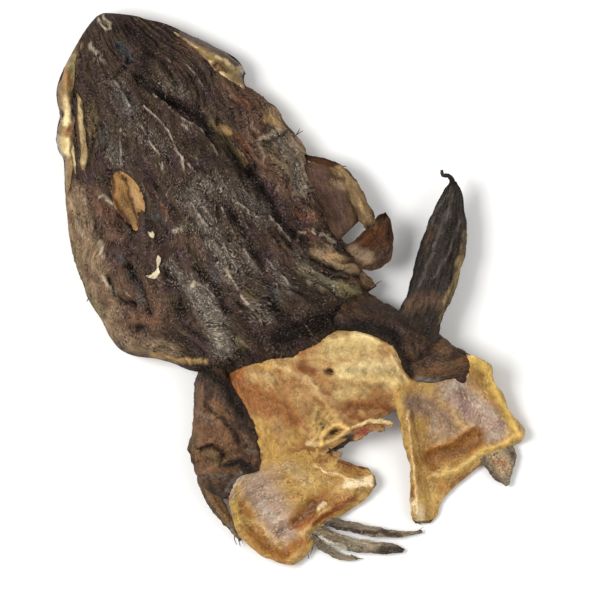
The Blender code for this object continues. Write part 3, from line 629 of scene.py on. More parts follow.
# The jaw bones and lips.
# Strips of bone and dried lip along the mouth, left bare where the skin has shrunk back. Each lies on the
# head's flank, grown into it along its length.
LIP_GROUNDS = ((0.160, 0.096, 0.036), (0.230, 0.150, 0.062))
LIP_DUST = ((0.600, 0.500, 0.300), 0.12)
LIP_TINTS = {
    "orange": ((0.225, 0.12, 0.045), (
        (0.95, 3.6, -66, 175, -70, 166),
    )),
    "olive": ((0.17, 0.135, 0.05), (
        (0.9, 3, -58, 182, -62, 176, -64, 170),
    )),
    "cream": ((0.56, 0.43, 0.22), (
        (1, 3.2, -77, 151, -81, 146, -80, 143), (0.6, 2.6, -75, 158, -77, 154),
        (1, 3.4, -88, 135, -90, 128), (0.5, 2.2, -68, 154, -71, 147, -79, 124, -84, 116),
        (0.8, 1.6, -85, 130, -89, 119), (0.7, 1.2, 5, 164, 10.5, 155.5, 14, 149),
        (0.8, 1.8, 17, 136, 18.5, 127, 27, 115), (0.7, 1.6, 22, 138, 27, 132, 29, 127),
    )),
    "yellow": ((0.27, 0.19, 0.065), (
        (0.5, 2.2, 14, 148, 22, 135), (0.7, 1.8, -80, 124, -82, 120), (0.6, 2.2, -88, 138, -91, 130),
    )),
    "rust": ((0.22, 0.095, 0.034), (
        (0.85, 2.4, -79, 140, -86, 138), (0.95, 2.4, 18, 134, 22, 130), (0.8, 2, 8, 160, 19, 146),
    )),
    "grey_and_sheen": ((0.27, 0.235, 0.175), (
        (0.7, 2.2, 32, 127, 33, 121), (0.8, 2, -91, 142, -94, 134, -94, 128),
        (0.6, 1.4, -84, 149, -88, 145),
    )),
    # Umber: the right lip's dark outer rim, with painted shade in the grooves and on the shaded side of the
    # left jaw bone.
    "umber_and_shade": ((0.06, 0.036, 0.022), (
        (0.95, 2.8, 9, 162, 23, 145, 28, 137, 31, 130), (0.8, 1.8, -83.5, 156, -83, 150),
        (0.7, 1.4, -70.5, 160, -75.5, 150, -79, 139, -84, 129),
        (0.6, 1.2, -66.5, 150, -70.5, 141, -74.5, 130), (0.5, 1.4, -70, 175, -77, 168),
    )),
}
LIPS = (  # name, edge A, edge B, height over the flank, thickness
    ("left_lip",
     ((-58, 182.5), (-67.2, 176.6), (-71.5, 171.7), (-76.3, 168), (-79.4, 163.2), (-81.8, 157), (-83.8, 152),
      (-84.4, 148), (-88.5, 144.3), (-92.2, 140), (-94.3, 135), (-94.9, 131), (-94, 124)),
     ((-56, 180), (-60.8, 173), (-64.4, 167), (-67.4, 162.6), (-70.4, 157.7), (-73.4, 152.4), (-75.8, 147),
      (-77, 142.6), (-79, 138), (-82, 133), (-85, 129), (-88, 126.5), (-91, 124)),
     -0.9, 6.5),
    ("left_lip_tail",
     ((-90.5, 131), (-93.4, 125), (-97.5, 116.8), (-101.5, 108), (-103, 104)),
     ((-87, 130), (-88.6, 124), (-92, 116), (-98, 108), (-102, 103.6)), -0.8, 4.5),
    ("left_jaw_bone",
     ((-68.4, 158), (-70, 152.2), (-72.6, 147), (-74.8, 142), (-77, 136), (-79.2, 130.4), (-83, 122),
      (-86, 117), (-86.6, 113)),
     ((-67, 158), (-66.6, 152), (-68.4, 147), (-70.6, 142), (-72.6, 136.4), (-75, 130), (-78, 122),
      (-82, 115), (-85.4, 112)),
     -0.3, 4.0),
    ("left_jaw_strand",
     ((-85.4, 132), (-88, 125.6), (-91, 117), (-92, 113)),
     ((-83.6, 131), (-85.8, 125.4), (-89, 117), (-91, 112.6)), -0.5, 3.0),
    ("right_lip",
     ((8, 164.5), (12, 160), (16.2, 156), (19.8, 150.8), (25.1, 143.5), (28.7, 138), (31.4, 132),
      (33.5, 126.7), (33.7, 121)),
     ((7, 161), (11, 156), (15, 150.5), (18.5, 146), (22.5, 140), (26, 134), (28.5, 129), (30, 124),
      (30.6, 120)),
     -0.9, 5.0),
    ("right_jaw_bone",
     ((4.4, 164.6), (8.0, 157.5), (11.4, 150), (14, 143), (15.6, 138), (16.8, 132), (18.6, 126), (21.8, 122),
      (25, 118), (28, 112)),
     ((5.2, 165), (10.5, 157.5), (15, 151), (19.5, 145), (24, 138.6), (28, 132.5), (30, 127.5), (30.6, 123),
      (30.2, 118), (29.2, 112.5)),
     0.2, 3.6),
)
LIP_FOLDS = (  # height, half width, line
    (-2, 1.8, 18.5, 133, 25.5, 126), (0.8, 0.8, 5, 164, 10.4, 155.6, 18, 141),
    (-1.2, 1.2, -81, 152, -84, 146), (-1.4, 1.4, -80, 142, -85, 137),
    (0.9, 1.2, -70, 151, -75, 141, -79, 128, -85, 117), (0.9, 1.6, -64, 177, -75, 160),
)


def path(points, share):
    """Points at shares, 0 to 1, of the smooth path through the points."""
    points = np.array(points, float)
    steps = np.linalg.norm(np.diff(points, axis=0), axis=1)
    places = np.concatenate([[0.0], np.cumsum(steps)]) / steps.sum()
    return np.stack([profile(np.column_stack([places, column]), share) for column in points.T], axis=-1)


def sheet(name, edge_a, edge_b, middle, thick, size, ragged=0.8, sharp=0.6, depth=0.3):
    """A dried sheet between two edges on the plan, with a rounded, slightly ragged rim.

    middle gives the height of its middle from x, y, across and along. thick does so too, or is one thickness.
    size is its rings and the points on each, sharp is how round its rim is, and depth how strongly its
    hollows are painted darker and its ridges lighter, as painted shade and light.
    """
    rings, around = size
    along = np.linspace(0, 1, rings)[:, None] + np.zeros((1, around))
    along = 0.75 * along + 0.25 * (1 - np.cos(np.pi * along)) / 2
    angle = np.linspace(0, 2 * np.pi, around, endpoint=False)[None, :]
    across = (1 - np.cos(angle)) / 2 + np.zeros((rings, 1))
    a = path(edge_a, along[:, 0])[:, None, :]
    b = path(edge_b, along[:, 0])[:, None, :]
    wide = np.linalg.norm(b - a, axis=-1)
    reach = np.linalg.norm(np.diff(np.array(edge_a, float), axis=0), axis=1).sum()
    side = 2 * across - 1
    jitter = ragged * waves(along * reach / 7, side * 2, len(name) + 50, 3) * side * np.abs(side) ** 5
    plan = a + (b - a) * (across + jitter / np.maximum(wide, 1))[..., None]
    x, y = plan[..., 0], plan[..., 1]
    turn = np.sin(angle)
    ends = (1 - np.abs(2 * along - 1) ** 14) ** 0.5
    if callable(thick):
        thick = thick(x, y, across, along)
    half = np.sign(turn) * np.abs(turn) ** sharp * thick / 2 * ends
    z = np.maximum(middle(x, y, across, along) + half, 0)
    piece, spots = closed_mesh(name, np.stack([x, y, z], -1))
    walk = np.cumsum(np.hypot(np.hypot(np.diff(x, axis=1), np.diff(y, axis=1)), np.diff(z, axis=1)), axis=1)
    lay_run(piece, with_ends(np.concatenate([0 * x[:, :1], walk], axis=1)), with_ends(along * reach))
    lay_relief_shade(piece, middle(x, y, across, along), depth)
    return piece, spots


for name, edge_a, edge_b, lift, thick in LIPS:
    lip, spots = sheet(
        name, edge_a, edge_b,
        lambda x, y, across, along: on_head(x, y, lift) + 0.5 * waves(x / 3, y / 5, 61)
        + strokes(LIP_FOLDS, x, y),
        thick, size=(130, 42), ragged=0.5,
    )
    dress(
        lip, spots, LIP_GROUNDS, LIP_TINTS,
        stretch=3.0, breakup=0.7, speckle=0.24, cloud=0.12, cracks=0.12, dust=LIP_DUST,
        roughness=(0.35, 0.6), gloss=0.2, bump=0.35,
    )
    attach(lip, "root")
    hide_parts("stockfish")


# The left eye.
# The dried eyeball, an amber almond sunk between the lids of its socket, with the wrinkle of its shrunken
# pupil down the middle. The right eye has dried away under the skin.
EYE_GROUNDS = ((0.225, 0.112, 0.036), (0.310, 0.170, 0.060))
EYE_TINTS = {
    "gold": ((0.35, 0.18, 0.055), (
        (0.9, 4, -69, 97, -70, 88), (0.6, 2.4, -73, 88, -74, 76),
    )),
    "straw": ((0.27, 0.175, 0.075), (
        (0.7, 2.4, -64, 92, -63, 84, -65, 76),
    )),
    # Umber: a dark line down the wrinkle of the pupil, and painted shade along the socket's left rim.
    "umber_and_shade": ((0.085, 0.038, 0.014), (
        (0.9, 1.1, -65, 97, -66, 88, -67.5, 80, -68.5, 71, -71, 65),
        (0.9, 1.8, -72, 99, -76, 90, -77.5, 80, -75.5, 68),
    )),
}
EYE_THICK = 3.0
EYE_BULGE = 10.0
EYE_SINK = 1.4
EYE_EDGE_A = ((-70, 103), (-74.6, 98), (-77.6, 90), (-78.6, 80), (-77.4, 71), (-74, 62))
EYE_EDGE_B = ((-66, 103), (-62, 97), (-59.4, 89), (-58.8, 81), (-61.4, 73), (-70, 62))


def eye_height(x, y, across, along):
    """The ball stands out in the middle and sinks under the lids all round."""
    ball = EYE_BULGE * across * (1 - across) * np.sin(np.pi * along) ** 0.7 - EYE_SINK
    return on_head(x, y) + ball + 0.3 * waves(x / 3, y / 7, 66)


eye, spots = sheet("left_eye", EYE_EDGE_A, EYE_EDGE_B, eye_height, EYE_THICK, size=(110, 60), ragged=0.3)
dress(
    eye, spots, EYE_GROUNDS, EYE_TINTS,
    stretch=3.0, breakup=0.6, speckle=0.2, cloud=0.12, cracks=0.1, dust=LIP_DUST,
    roughness=(0.50, 0.65), gloss=0.15, bump=0.25,
)
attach(eye, "root")
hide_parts("stockfish")


# The gill flaps.
# What is left of the gill cover on the right: a dark web inside a stiff golden rim, a leaf-shaped flap behind
# it and a torn corner of skin. They stand out from the flank where they dried.
GILL_GROUNDS = ((0.046, 0.023, 0.012), (0.076, 0.040, 0.020))
GILL_DUST = ((0.230, 0.160, 0.095), 0.14)
GILL_TINTS = {
    "gold": ((0.205, 0.132, 0.058), (
        (0.9, 4.2, 58, 42, 62, 34, 60, -2), (0.5, 4, 50, 34, 55, 30), (0.4, 3, 40, -22, 44, -34),
    )),
    "tan": ((0.21, 0.14, 0.085), (
        (0.9, 5, 42, -10, 50, -18), (0.6, 3, 52, 34, 56, 28), (0.5, 3, 38, -20, 42, -32),
    )),
    "brown_and_shade": ((0.088, 0.048, 0.034), (
        (0.8, 7, 44, 44, 48, 24, 44, 8),
    )),
    "cream": ((0.34, 0.245, 0.125), (
        (0.45, 1.4, 58, 38, 61, 28, 60.5, 14, 59.5, 2), (0.4, 1, 50, 50, 57, 44),
    )),
    "sienna": ((0.068, 0.024, 0.008), (
        (0.95, 8, 57, -8, 66, -12), (0.8, 3, 44, 56, 57, 45),
    )),
    "umber_and_shade": ((0.03, 0.014, 0.008), (
        (0.8, 3, 56, -26, 66, -20, 71, -6), (0.8, 1, 60, -4, 59, -12, 61, -22),
        (0.8, 2, 44, 57, 54, 50, 63, 41, 66, 30), (0.9, 2.5, 68, 2, 73, -2), (0.6, 4, 42, 28, 44, 12),
        (0.7, 1.4, 38, -6, 52, -4.5, 62, -1),
    )),
}
GILL_FLAPS = (  # name, edge A, edge B, height at its start, height at its end, cupping, thickness, size
    ("gill_web", ((34, 52), (34, 30), (36, 12), (37, -1)), ((46, 52), (57, 41), (60, 28), (58, 14),
      (56.5, 5)),
     20.0, 18.0, 1.0, 2.6, (90, 100)),
    ("gill_rim", ((40, 56), (50, 48), (56, 40), (58, 30), (56.5, 15), (56, 1), (57.5, -4)),
     ((44, 58), (55, 49), (62, 40.5), (65.3, 30), (65.6, 18), (65, 1), (62.5, -4)),
     17.0, 20.0, 1.6, 3.4, (130, 60)),
    ("leaf_flap", ((36, -6), (48, -4.5), (60, -1.0), (68, 1.8), (72.5, 2.6)),
     ((36, -18), (45, -25), (53, -28.3), (61, -27), (68, -18), (73.5, -4)),
     16.0, 23.5, 4.5, 2.6, (110, 90)),
    ("torn_corner", ((29, -16), (34, -28), (38, -38.5)), ((40, -14), (43.5, -26), (47, -37.3)),
     19.0, 14.0, 1.0, 2.6, (60, 50)),
)
for name, edge_a, edge_b, start, end, cup, thick, size in GILL_FLAPS:
    flap, spots = sheet(
        name, edge_a, edge_b,
        lambda x, y, across, along: start + (end - start) * along + cup * (2 * across - 1) ** 2
        + 0.5 * waves(across * 5, along * 3, 71) + 0.3 * waves(across * 12, along * 6, 72),
        thick, size,
    )
    dress(
        flap, spots, GILL_GROUNDS, GILL_TINTS,
        stretch=4.0, breakup=0.8, speckle=0.3, cloud=0.2, cracks=0.15, dust=GILL_DUST,
        roughness=(0.40, 0.66), gloss=0.09, bump=0.35,
    )
    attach(flap, "root")
    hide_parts("stockfish")


# The nape flesh.
# The cut flesh of the neck, dried hard to straw and amber, with the spongy end of the backbone and a splinter
# of bone in its torn rear edge. It runs on under the skin and into the collar plates without a seam.
FLESH_GROUNDS = ((0.300, 0.142, 0.042), (0.400, 0.235, 0.086))
FLESH_DUST = ((0.800, 0.620, 0.360), 0.12)
COLLAR_FALL = (  # place along Y, height
    (-192, 4), (-172, 5), (-152, 7), (-136, 10.5), (-122, 16.5), (-110, 25), (-98, 33), (-84, 39), (-60, 43),
    (-30, 42),
)
COLLAR_RIDGES = (  # height, half width, line
    (1, 3.2, -38, -49, -28, -58, -20, -71, -16, -84, -15, -98), (-2.2, 8, -54, -62, -44, -92),
    (-3.5, 1.8, -5.5, -70.5, -4, -73), (-1.8, 3, -19, -62, -14, -68), (-2, 6, 2, -60, 20, -70),
    (2, 3, 0, -80, 18, -90, 30, -98), (2, 2, 35, -80, 34, -90, 37, -100), (-2.4, 4, -8, -98, 8, -104),
    (1.2, 2, -61, -56, -60, -90), (-1.4, 1.6, -38, -58, -38, -80, -42, -100), (-3, 6, -24, -92, -18, -104),
    (6, 5, -98, -114, -102, -128, -101, -142, -96, -156, -84, -169, -68, -164),
    (3.5, 6, -30, -144, -13, -146), (-2.8, 3.4, -80, -150, -67, -147, -54, -142),
    (3.6, 3, -68, -157, -54, -151, -28, -150), (1.2, 1, -41, -122, -30.5, -133.5, -20, -142.5),
    (1.8, 2.4, -88, -110, -90, -136, -84, -154), (-1.8, 6, -78, -118, -78, -144),
    (-2.4, 3, -26, -129, -16, -138), (1.6, 1.8, -51, -147.5, -46, -145.5),
    (9, 6, 28, -104, 14, -152, 5, -176), (0.8, 1.2, 28, -117, 9, -167, 4, -178),
    (-1, 1, 24.5, -114, 19.5, -132, 13, -152, 4, -176), (-3.6, 6, 30, -151, 44, -155, 60, -153),
    (1.6, 1.8, 28, -146, 44, -147, 62, -145), (3.6, 3.2, 24, -162, 41, -165, 57, -162, 86, -164),
    (7, 4.5, 82, -104, 86, -117, 84, -140, 86, -160), (1.6, 3, 47, -116, 56, -144),
    (-2.6, 5, 64, -122, 68, -144), (1.4, 2.4, 74, -128, 76, -150), (-1.6, 2.4, 36, -114, 38, -136),
)
SPONGE_STRANDS = (  # the ropes of spongy bone in the end of the backbone
    (2.6, 1.6, -30, -111, -28, -107, -24, -104.5, -19, -104, -14, -105.5, -11, -109.5),
    (2.4, 1.4, -32, -111.5, -20, -112, -10, -110.5), (0.9, 1.6, -17, -84, -16, -97, -13, -104),
    (1.3, 1.5, -22, -87.5, -26.5, -93, -29.5, -98, -31, -105, -36, -108),
    (0.8, 1.6, -22, -90, -20, -97, -17, -103),
)
SPONGE_PITS = (
    (-3, 1.8, -22, -107.5, -18.5, -108), (-1.4, 1, -22.5, -91.5, -23, -93),
    (-1.2, 1, -28.5, -101, -30, -103), (-1.6, 1.2, -23.5, -100.5, -24.5, -101.5),
    (-1.3, 1, -26, -108.5, -28, -109),
)
FLESH_UNDERSIDE = 9.0
FLESH_END = -107.0
FLESH_LEFT = -36.0  # beyond these two sides it has grown into the plates
FLESH_RIGHT = 17.0
SPONGE_X = -23.0
SPONGE_Y = -101.0
SPONGE_HALF_WIDTH = 12.0
FLESH_EDGE_A = (
    (-42, -28), (-62, -42), (-68, -58), (-69, -80), (-74, -96), (-80, -105), (-70, -116), (-46, -119),
    (-36, -113),
)
FLESH_EDGE_B = (
    (-6, -28), (30, -44), (41, -60), (44, -80), (42, -98), (32, -110), (20, -113), (-2, -110), (-12, -112),
)
FLESH_TINTS = {
    "amber": ((0.262, 0.098, 0.024), (
        (1, 10, -58, -48, -56, -62, -50, -74), (0.8, 8, -46, -70, -38, -90), (0.6, 6, -22, -47, -10, -52),
        (0.6, 5, -18, -62, -12, -72), (0.8, 7, -4, -96, 16, -106), (0.7, 6, -42, -102, -36, -113),
        (0.4, 5, 6, -62, -2, -67),
    )),
    "gold": ((0.43, 0.245, 0.062), (
        (0.8, 8, -60, -82, -60, -98, -66, -110), (0.7, 7, -44, -98, -52, -110), (0.7, 4, 26, -108, 30, -98),
        (0.6, 4, -43, -48, -36, -51),
    )),
    "russet": ((0.215, 0.07, 0.018), (
        (0.7, 4, -62, -47, -60, -54), (0.7, 2.8, -19, -63, -14, -67), (0.7, 2.4, -13, -82, -11, -86),
        (0.8, 2.6, -6, -103, 0, -108), (0.5, 2.4, -50, -105, -44, -110), (0.7, 2.6, 14, -106, 20, -111),
        (0.6, 2.4, -42, -112, -36, -117),
    )),
    "straw": ((0.52, 0.365, 0.142), (
        (0.9, 10, 4, -60, 26, -66), (0.85, 8, 2, -76, 16, -82, 28, -92), (0.6, 6, -6, -88, 8, -92),
        (0.7, 5, 24, -94, 34, -100), (0.5, 5, -50, -52, -40, -60),
    )),
    "cream": ((0.64, 0.48, 0.225), (
        (0.35, 3.2, -36, -50, -28, -58, -20, -71, -16, -84), (0.6, 6, 4, -76, 16, -78, 30, -84),
        (0.7, 4, 20, -59, 29, -64), (0.6, 1.8, 35, -82, 34, -92, 37, -100),
        (0.7, 2.2, -37, -106, -33, -110), (0.9, 1.5, -28, -110, -20, -111.5, -11, -110.5),
    )),
    # Painted shade: dark in the hole through the flesh, with a darker patch beside it, and along the edge of
    # the left shoulder.
    "pit_shade": ((0.055, 0.022, 0.012), (
        (0.9, 1.5, -5.5, -70.5, -4, -73), (0.4, 2, -9, -68, -5, -71), (0.6, 1.6, -63.5, -48, -64, -62),
        (0.5, 1.4, -65.5, -78, -64, -88),
    )),
    "sponge_rope": ((0.520, 0.330, 0.110), ()),
    "sponge_pit_shade": ((0.190, 0.075, 0.016), ()),
}


def collar_top(x, y):
    """Height of the nape flesh and the collar plates, which fall away rearwards, with ridges and hollows."""
    wanders = 1.2 * waves(x / 14, y / 14, 81)
    return profile(COLLAR_FALL, y) + strokes(COLLAR_RIDGES, x + wanders, y + wanders)


def sponge(x, y):
    return strokes(SPONGE_STRANDS, x, y) + strokes(SPONGE_PITS, x, y)


def flesh_top(x, y):
    fibres = 0.6 * waves(x / 2.4 + y / 9, y / 7 - x / 20, 82, 3) + 0.8 * waves(x / 8, y / 8, 83)
    fibres = fibres - 0.8 * creases(x / 5, y / 12, 84)
    in_sponge = bell(np.hypot(x - SPONGE_X, 1.2 * (y - SPONGE_Y)), SPONGE_HALF_WIDTH)
    crumbly = 1.7 * waves(x / 2.0, y / 2.6, 85, 3) * in_sponge
    under_nape = 12 * np.clip((y - profile(NAPE_CUT, x) + 3) / 12, 0, 1)
    beside = np.clip(np.maximum(FLESH_LEFT - x, x - FLESH_RIGHT) / 3, 0, 1)
    grown_in = np.clip((FLESH_END + 7 - y) / 8, 0, 1) * beside
    sunk = 0.9 * np.clip((FLESH_END - y) / 3, 0, 1) * beside
    return collar_top(x, y) + (fibres + crumbly) * (1 - grown_in) + sponge(x, y) - under_nape - sunk


flesh, spots = sheet(
    "nape_flesh", FLESH_EDGE_A, FLESH_EDGE_B,
    lambda x, y, across, along: (flesh_top(x, y) + FLESH_UNDERSIDE) / 2,
    lambda x, y, across, along: flesh_top(x, y) - FLESH_UNDERSIDE,
    size=(210, 300), ragged=1.0, sharp=0.35,
)
x, y, _ = spots.T
ropes = 0.7 * bell(np.hypot(x - SPONGE_X, 1.1 * (y - SPONGE_Y + 1)), SPONGE_HALF_WIDTH)
# Painted shade in the pits of the spongy bone; its ropes get their own paler bone colour.
lay_cover(flesh, "sponge_pit_shade", -0.28 * strokes(SPONGE_PITS, x, y))
lay_cover(flesh, "sponge_rope", ropes + 0.2 * strokes(SPONGE_STRANDS, x, y))
dress(
    flesh, spots, FLESH_GROUNDS, FLESH_TINTS,
    stretch=3.2, breakup=0.5, speckle=0.18, cloud=0.10, cracks=0.12, dust=FLESH_DUST,
    roughness=(0.36, 0.58), gloss=0.25, bump=0.4,
)
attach(flesh, "root")
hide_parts("stockfish")

SCRAP_GROUNDS = ((0.250, 0.115, 0.038), (0.340, 0.185, 0.065))
SCRAP_TINTS = {
    "cream": ((0.6, 0.43, 0.2), (
        (0.9, 1.6, -12, -109, 2, -111, 11, -114.5, 15, -118.5), (0.6, 1.6, 10, -120.5, 14, -121.5),
    )),
    "russet": ((0.215, 0.04, 0.018), (
        (0.9, 2.6, -7, -115, -1, -116), (0.5, 3, -38, -116, -34, -121),
    )),
    # Umber: painted shade in the torn hollow under the backbone's end and along the lower edge of the red
    # scrap.
    "umber_and_shade": ((0.032, 0.014, 0.009), (
        (1, 3.4, -36, -112, -12, -115), (0.9, 3, -27, -117, -16, -118), (0.5, 1.2, -5, -119.5, 8, -121.5),
    )),
}
SCRAPS = (  # name, edge A, edge B, height of its top at start and end, thickness, size
    ("backbone_splinter",
     ((-15, -109), (-4, -109.4), (4, -110.4), (10, -113.6), (15.4, -117.4), (16.2, -119.6)),
     ((-14, -111.8), (-4, -112.4), (3, -113.4), (8.6, -117), (13.4, -120.6), (15, -121.6)),
     (25.5, 26.0), 3.4, (100, 40)),
    ("red_scrap",
     ((-20, -108), (-8, -108.5), (4, -111), (12, -117)),
     ((-17, -114), (-6, -119.8), (1.5, -118.2), (9, -122)), (23.5, 22.0), 3.0, (70, 50)),
    ("torn_hollow",
     ((-42, -108), (-26, -106), (-6, -106)),
     ((-33, -123.5), (-24, -119.5), (-5, -119)), (17.0, 18.0), 5.0, (80, 60)),
    ("hooked_scrap",
     ((-27.4, -111), (-27.8, -117), (-26.5, -121), (-22.8, -124)),
     ((-24.6, -111), (-25.2, -117), (-24, -120), (-20.6, -121.8)), (22.0, 19.0), 2.2, (50, 24)),
)
for name, edge_a, edge_b, tops, thick, size in SCRAPS:
    scrap, spots = sheet(
        name, edge_a, edge_b,
        lambda x, y, across, along: tops[0] + (tops[1] - tops[0]) * along - thick / 2
        + 0.5 * waves(x / 3, y / 3, 91),
        thick, size, ragged=1.0,
    )
    dress(
        scrap, spots, SCRAP_GROUNDS, SCRAP_TINTS,
        stretch=3.0, breakup=0.9, speckle=0.25, cloud=0.12, cracks=0.1, dust=FLESH_DUST,
        roughness=(0.35, 0.6), gloss=0.25, bump=0.3,
    )
    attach(scrap, "root")
    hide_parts("stockfish")


# The shoulders.
# The dark skin over the base of each breast fin. It is one skin with the head's, drawn tight round the nape
# flesh and down over the collar plates.
SHOULDER_GROUNDS = ((0.036, 0.019, 0.011), (0.066, 0.036, 0.020), (0.044, 0.026, 0.020))
SHOULDER_DUST = ((0.220, 0.170, 0.125), 0.25)
SHOULDER_BASE = 8.0
SHOULDER_DOME = 8.5
SHOULDER_TINTS = {
    "brown_and_shade": ((0.14, 0.07, 0.033), (
        (0.9, 10, -92, -60, -100, -94), (0.8, 8, -80, -60, -88, -96), (0.6, 5, -84, -44, -88, -54),
        (0.7, 6, 46, -98, 60, -104, 72, -106), (0.6, 6, 62, -76, 66, -92), (0.5, 5, -70, -92, -72, -84),
    )),
    "grey_and_sheen": ((0.13, 0.105, 0.082), (
        (0.7, 3, 42, -102, 54, -108), (0.5, 4, -96, -100, -104, -96), (0.4, 4, -72, -88, -71, -96),
        (0.6, 1.8, -97, -110, -91, -106, -85, -104), (0.4, 4, -90, -58, -86, -66),
    )),
    "olive": ((0.09, 0.066, 0.03), (
        (0.6, 4, -97, -84, -94, -89), (0.5, 4, -104, -74, -100, -70), (0.5, 3, 62, -98, 66, -104),
    )),
    "rust": ((0.13, 0.055, 0.026), (
        (0.5, 3, -90, -68, -86, -74), (0.5, 3, 58, -62, 64, -68), (0.5, 3, -76, -98, -72, -100),
        (0.5, 2, 74, -104, 76, -110),
    )),
    # Near-black: painted shade in the grooves of the folds, and dark skin along the edges against the nape
    # flesh.
    "black_and_shade": ((0.012, 0.008, 0.006), (
        (0.9, 3, -89, -95, -82, -96, -77, -109), (0.8, 4.5, -75, -36, -68, -48, -67, -70),
        (0.9, 6, 10, -48, 34, -60, 42, -72), (0.7, 4, 40, -76, 40, -96),
        (0.7, 1.8, -101, -79, -93, -80, -88.5, -86, -93, -94), (0.7, 4, 52, -60, 60, -68),
        (0.6, 1.6, -84, -58, -78, -70, -76, -84), (0.6, 1.6, -104, -96, -106, -110),
    )),
}
SHOULDER_FOLDS = (  # height, half width, line
    (3.4, 6, -95, -72, -97, -78), (-3.4, 2, -101, -79, -93, -80, -88, -86, -93, -94),
    (2.2, 3, -97, -85, -94, -88), (-3.2, 2.4, -84, -56, -78, -70, -76, -86),
    (-5.5, 4, -88, -100, -79, -98, -74, -92), (2, 3, -70, -54, -70, -84), (2, 2.4, -102, -96, -105, -108),
    (2.4, 2.4, -80, -42, -90, -58), (-2, 2, -92, -52, -84, -60),
    (1.8, 1.4, -97, -110, -91, -106, -84, -104), (3, 3.4, 46, -62, 56, -82, 60, -98),
    (-3, 3, 54, -62, 64, -82), (-2.6, 2.6, 42, -70, 44, -96), (2.4, 2.4, 66, -80, 72, -98),
    (-2.4, 2, 50, -104, 66, -112), (-2, 1.6, 60, -60, 70, -66, 72, -76),
    (1.6, 1.4, 40, -102, 52, -108.5, 62, -112),
)
SHOULDERS = (  # name, edge A, edge B, height along edge A and edge B by share of the length
    ("left_shoulder",
     ((-72, -27), (-84, -39), (-92, -52), (-100, -66), (-107, -74), (-109.5, -86), (-110, -99), (-105, -110),
      (-98, -116)),
     ((-54, -28), (-63, -45), (-62, -60), (-62, -84), (-66, -96), (-74, -108), (-80, -105.5), (-88, -107.5),
      (-94, -114)),
     ((0, 16), (0.15, 17), (0.6, 16), (1, 14)),
     ((0, 24), (0.12, 38), (0.2, 44), (0.6, 41), (0.82, 30), (1, 20))),
    ("right_shoulder",
     ((-6, -34), (14, -53), (29, -65), (36, -76), (35.5, -90), (40, -102), (50, -108.5), (61, -112),
      (67, -118)),
     ((36, -18), (41, -40), (52, -57), (65, -74), (70.5, -88), (76, -98), (80, -105), (76.5, -113),
      (71, -118)),
     ((0, 26), (0.12, 42), (0.4, 44), (0.7, 36), (0.9, 27), (1, 22)),
     ((0, 16), (0.2, 20), (0.6, 19), (0.85, 17), (1, 18))),
)


def shoulder_top(x, y, across, along, side_a, side_b):
    """Height of the shoulder's skin: domed between its two edges, with folds and wrinkles."""
    edges = profile(side_a, along) * (1 - across) + profile(side_b, along) * across
    dome = SHOULDER_DOME * np.sin(np.pi * across) * np.clip(5 * along, 0, 1) * (1 - 0.6 * along)
    wrinkles = 0.9 * waves(x / 8, y / 8, 101) + 0.55 * waves(x / 3, y / 3.6, 102)
    wrinkles = wrinkles - 0.9 * creases(x / 9, y / 13, 103)
    skin = edges + dome + strokes(SHOULDER_FOLDS, x, y) + wrinkles
    over_plate = collar_top(x, y) + 1.6 + 0.4 * wrinkles - 2.5 * np.clip(y + 92, 0, 30)
    return np.maximum(skin, over_plate)


for name, edge_a, edge_b, side_a, side_b in SHOULDERS:
    shoulder, spots = sheet(
        name, edge_a, edge_b,
        lambda x, y, across, along: (shoulder_top(x, y, across, along, side_a, side_b) + SHOULDER_BASE) / 2,
        lambda x, y, across, along: shoulder_top(x, y, across, along, side_a, side_b) - SHOULDER_BASE,
        size=(200, 190), ragged=0.9, sharp=0.5,
    )
    dress(
        shoulder, spots, SHOULDER_GROUNDS, SHOULDER_TINTS,
        stretch=1.5, breakup=0.9, speckle=0.4, cloud=0.25, cracks=0.25, dust=SHOULDER_DUST,
        roughness=(0.48, 0.75), gloss=0.10, bump=0.5,
    )
    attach(shoulder, "root")
    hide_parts("stockfish")


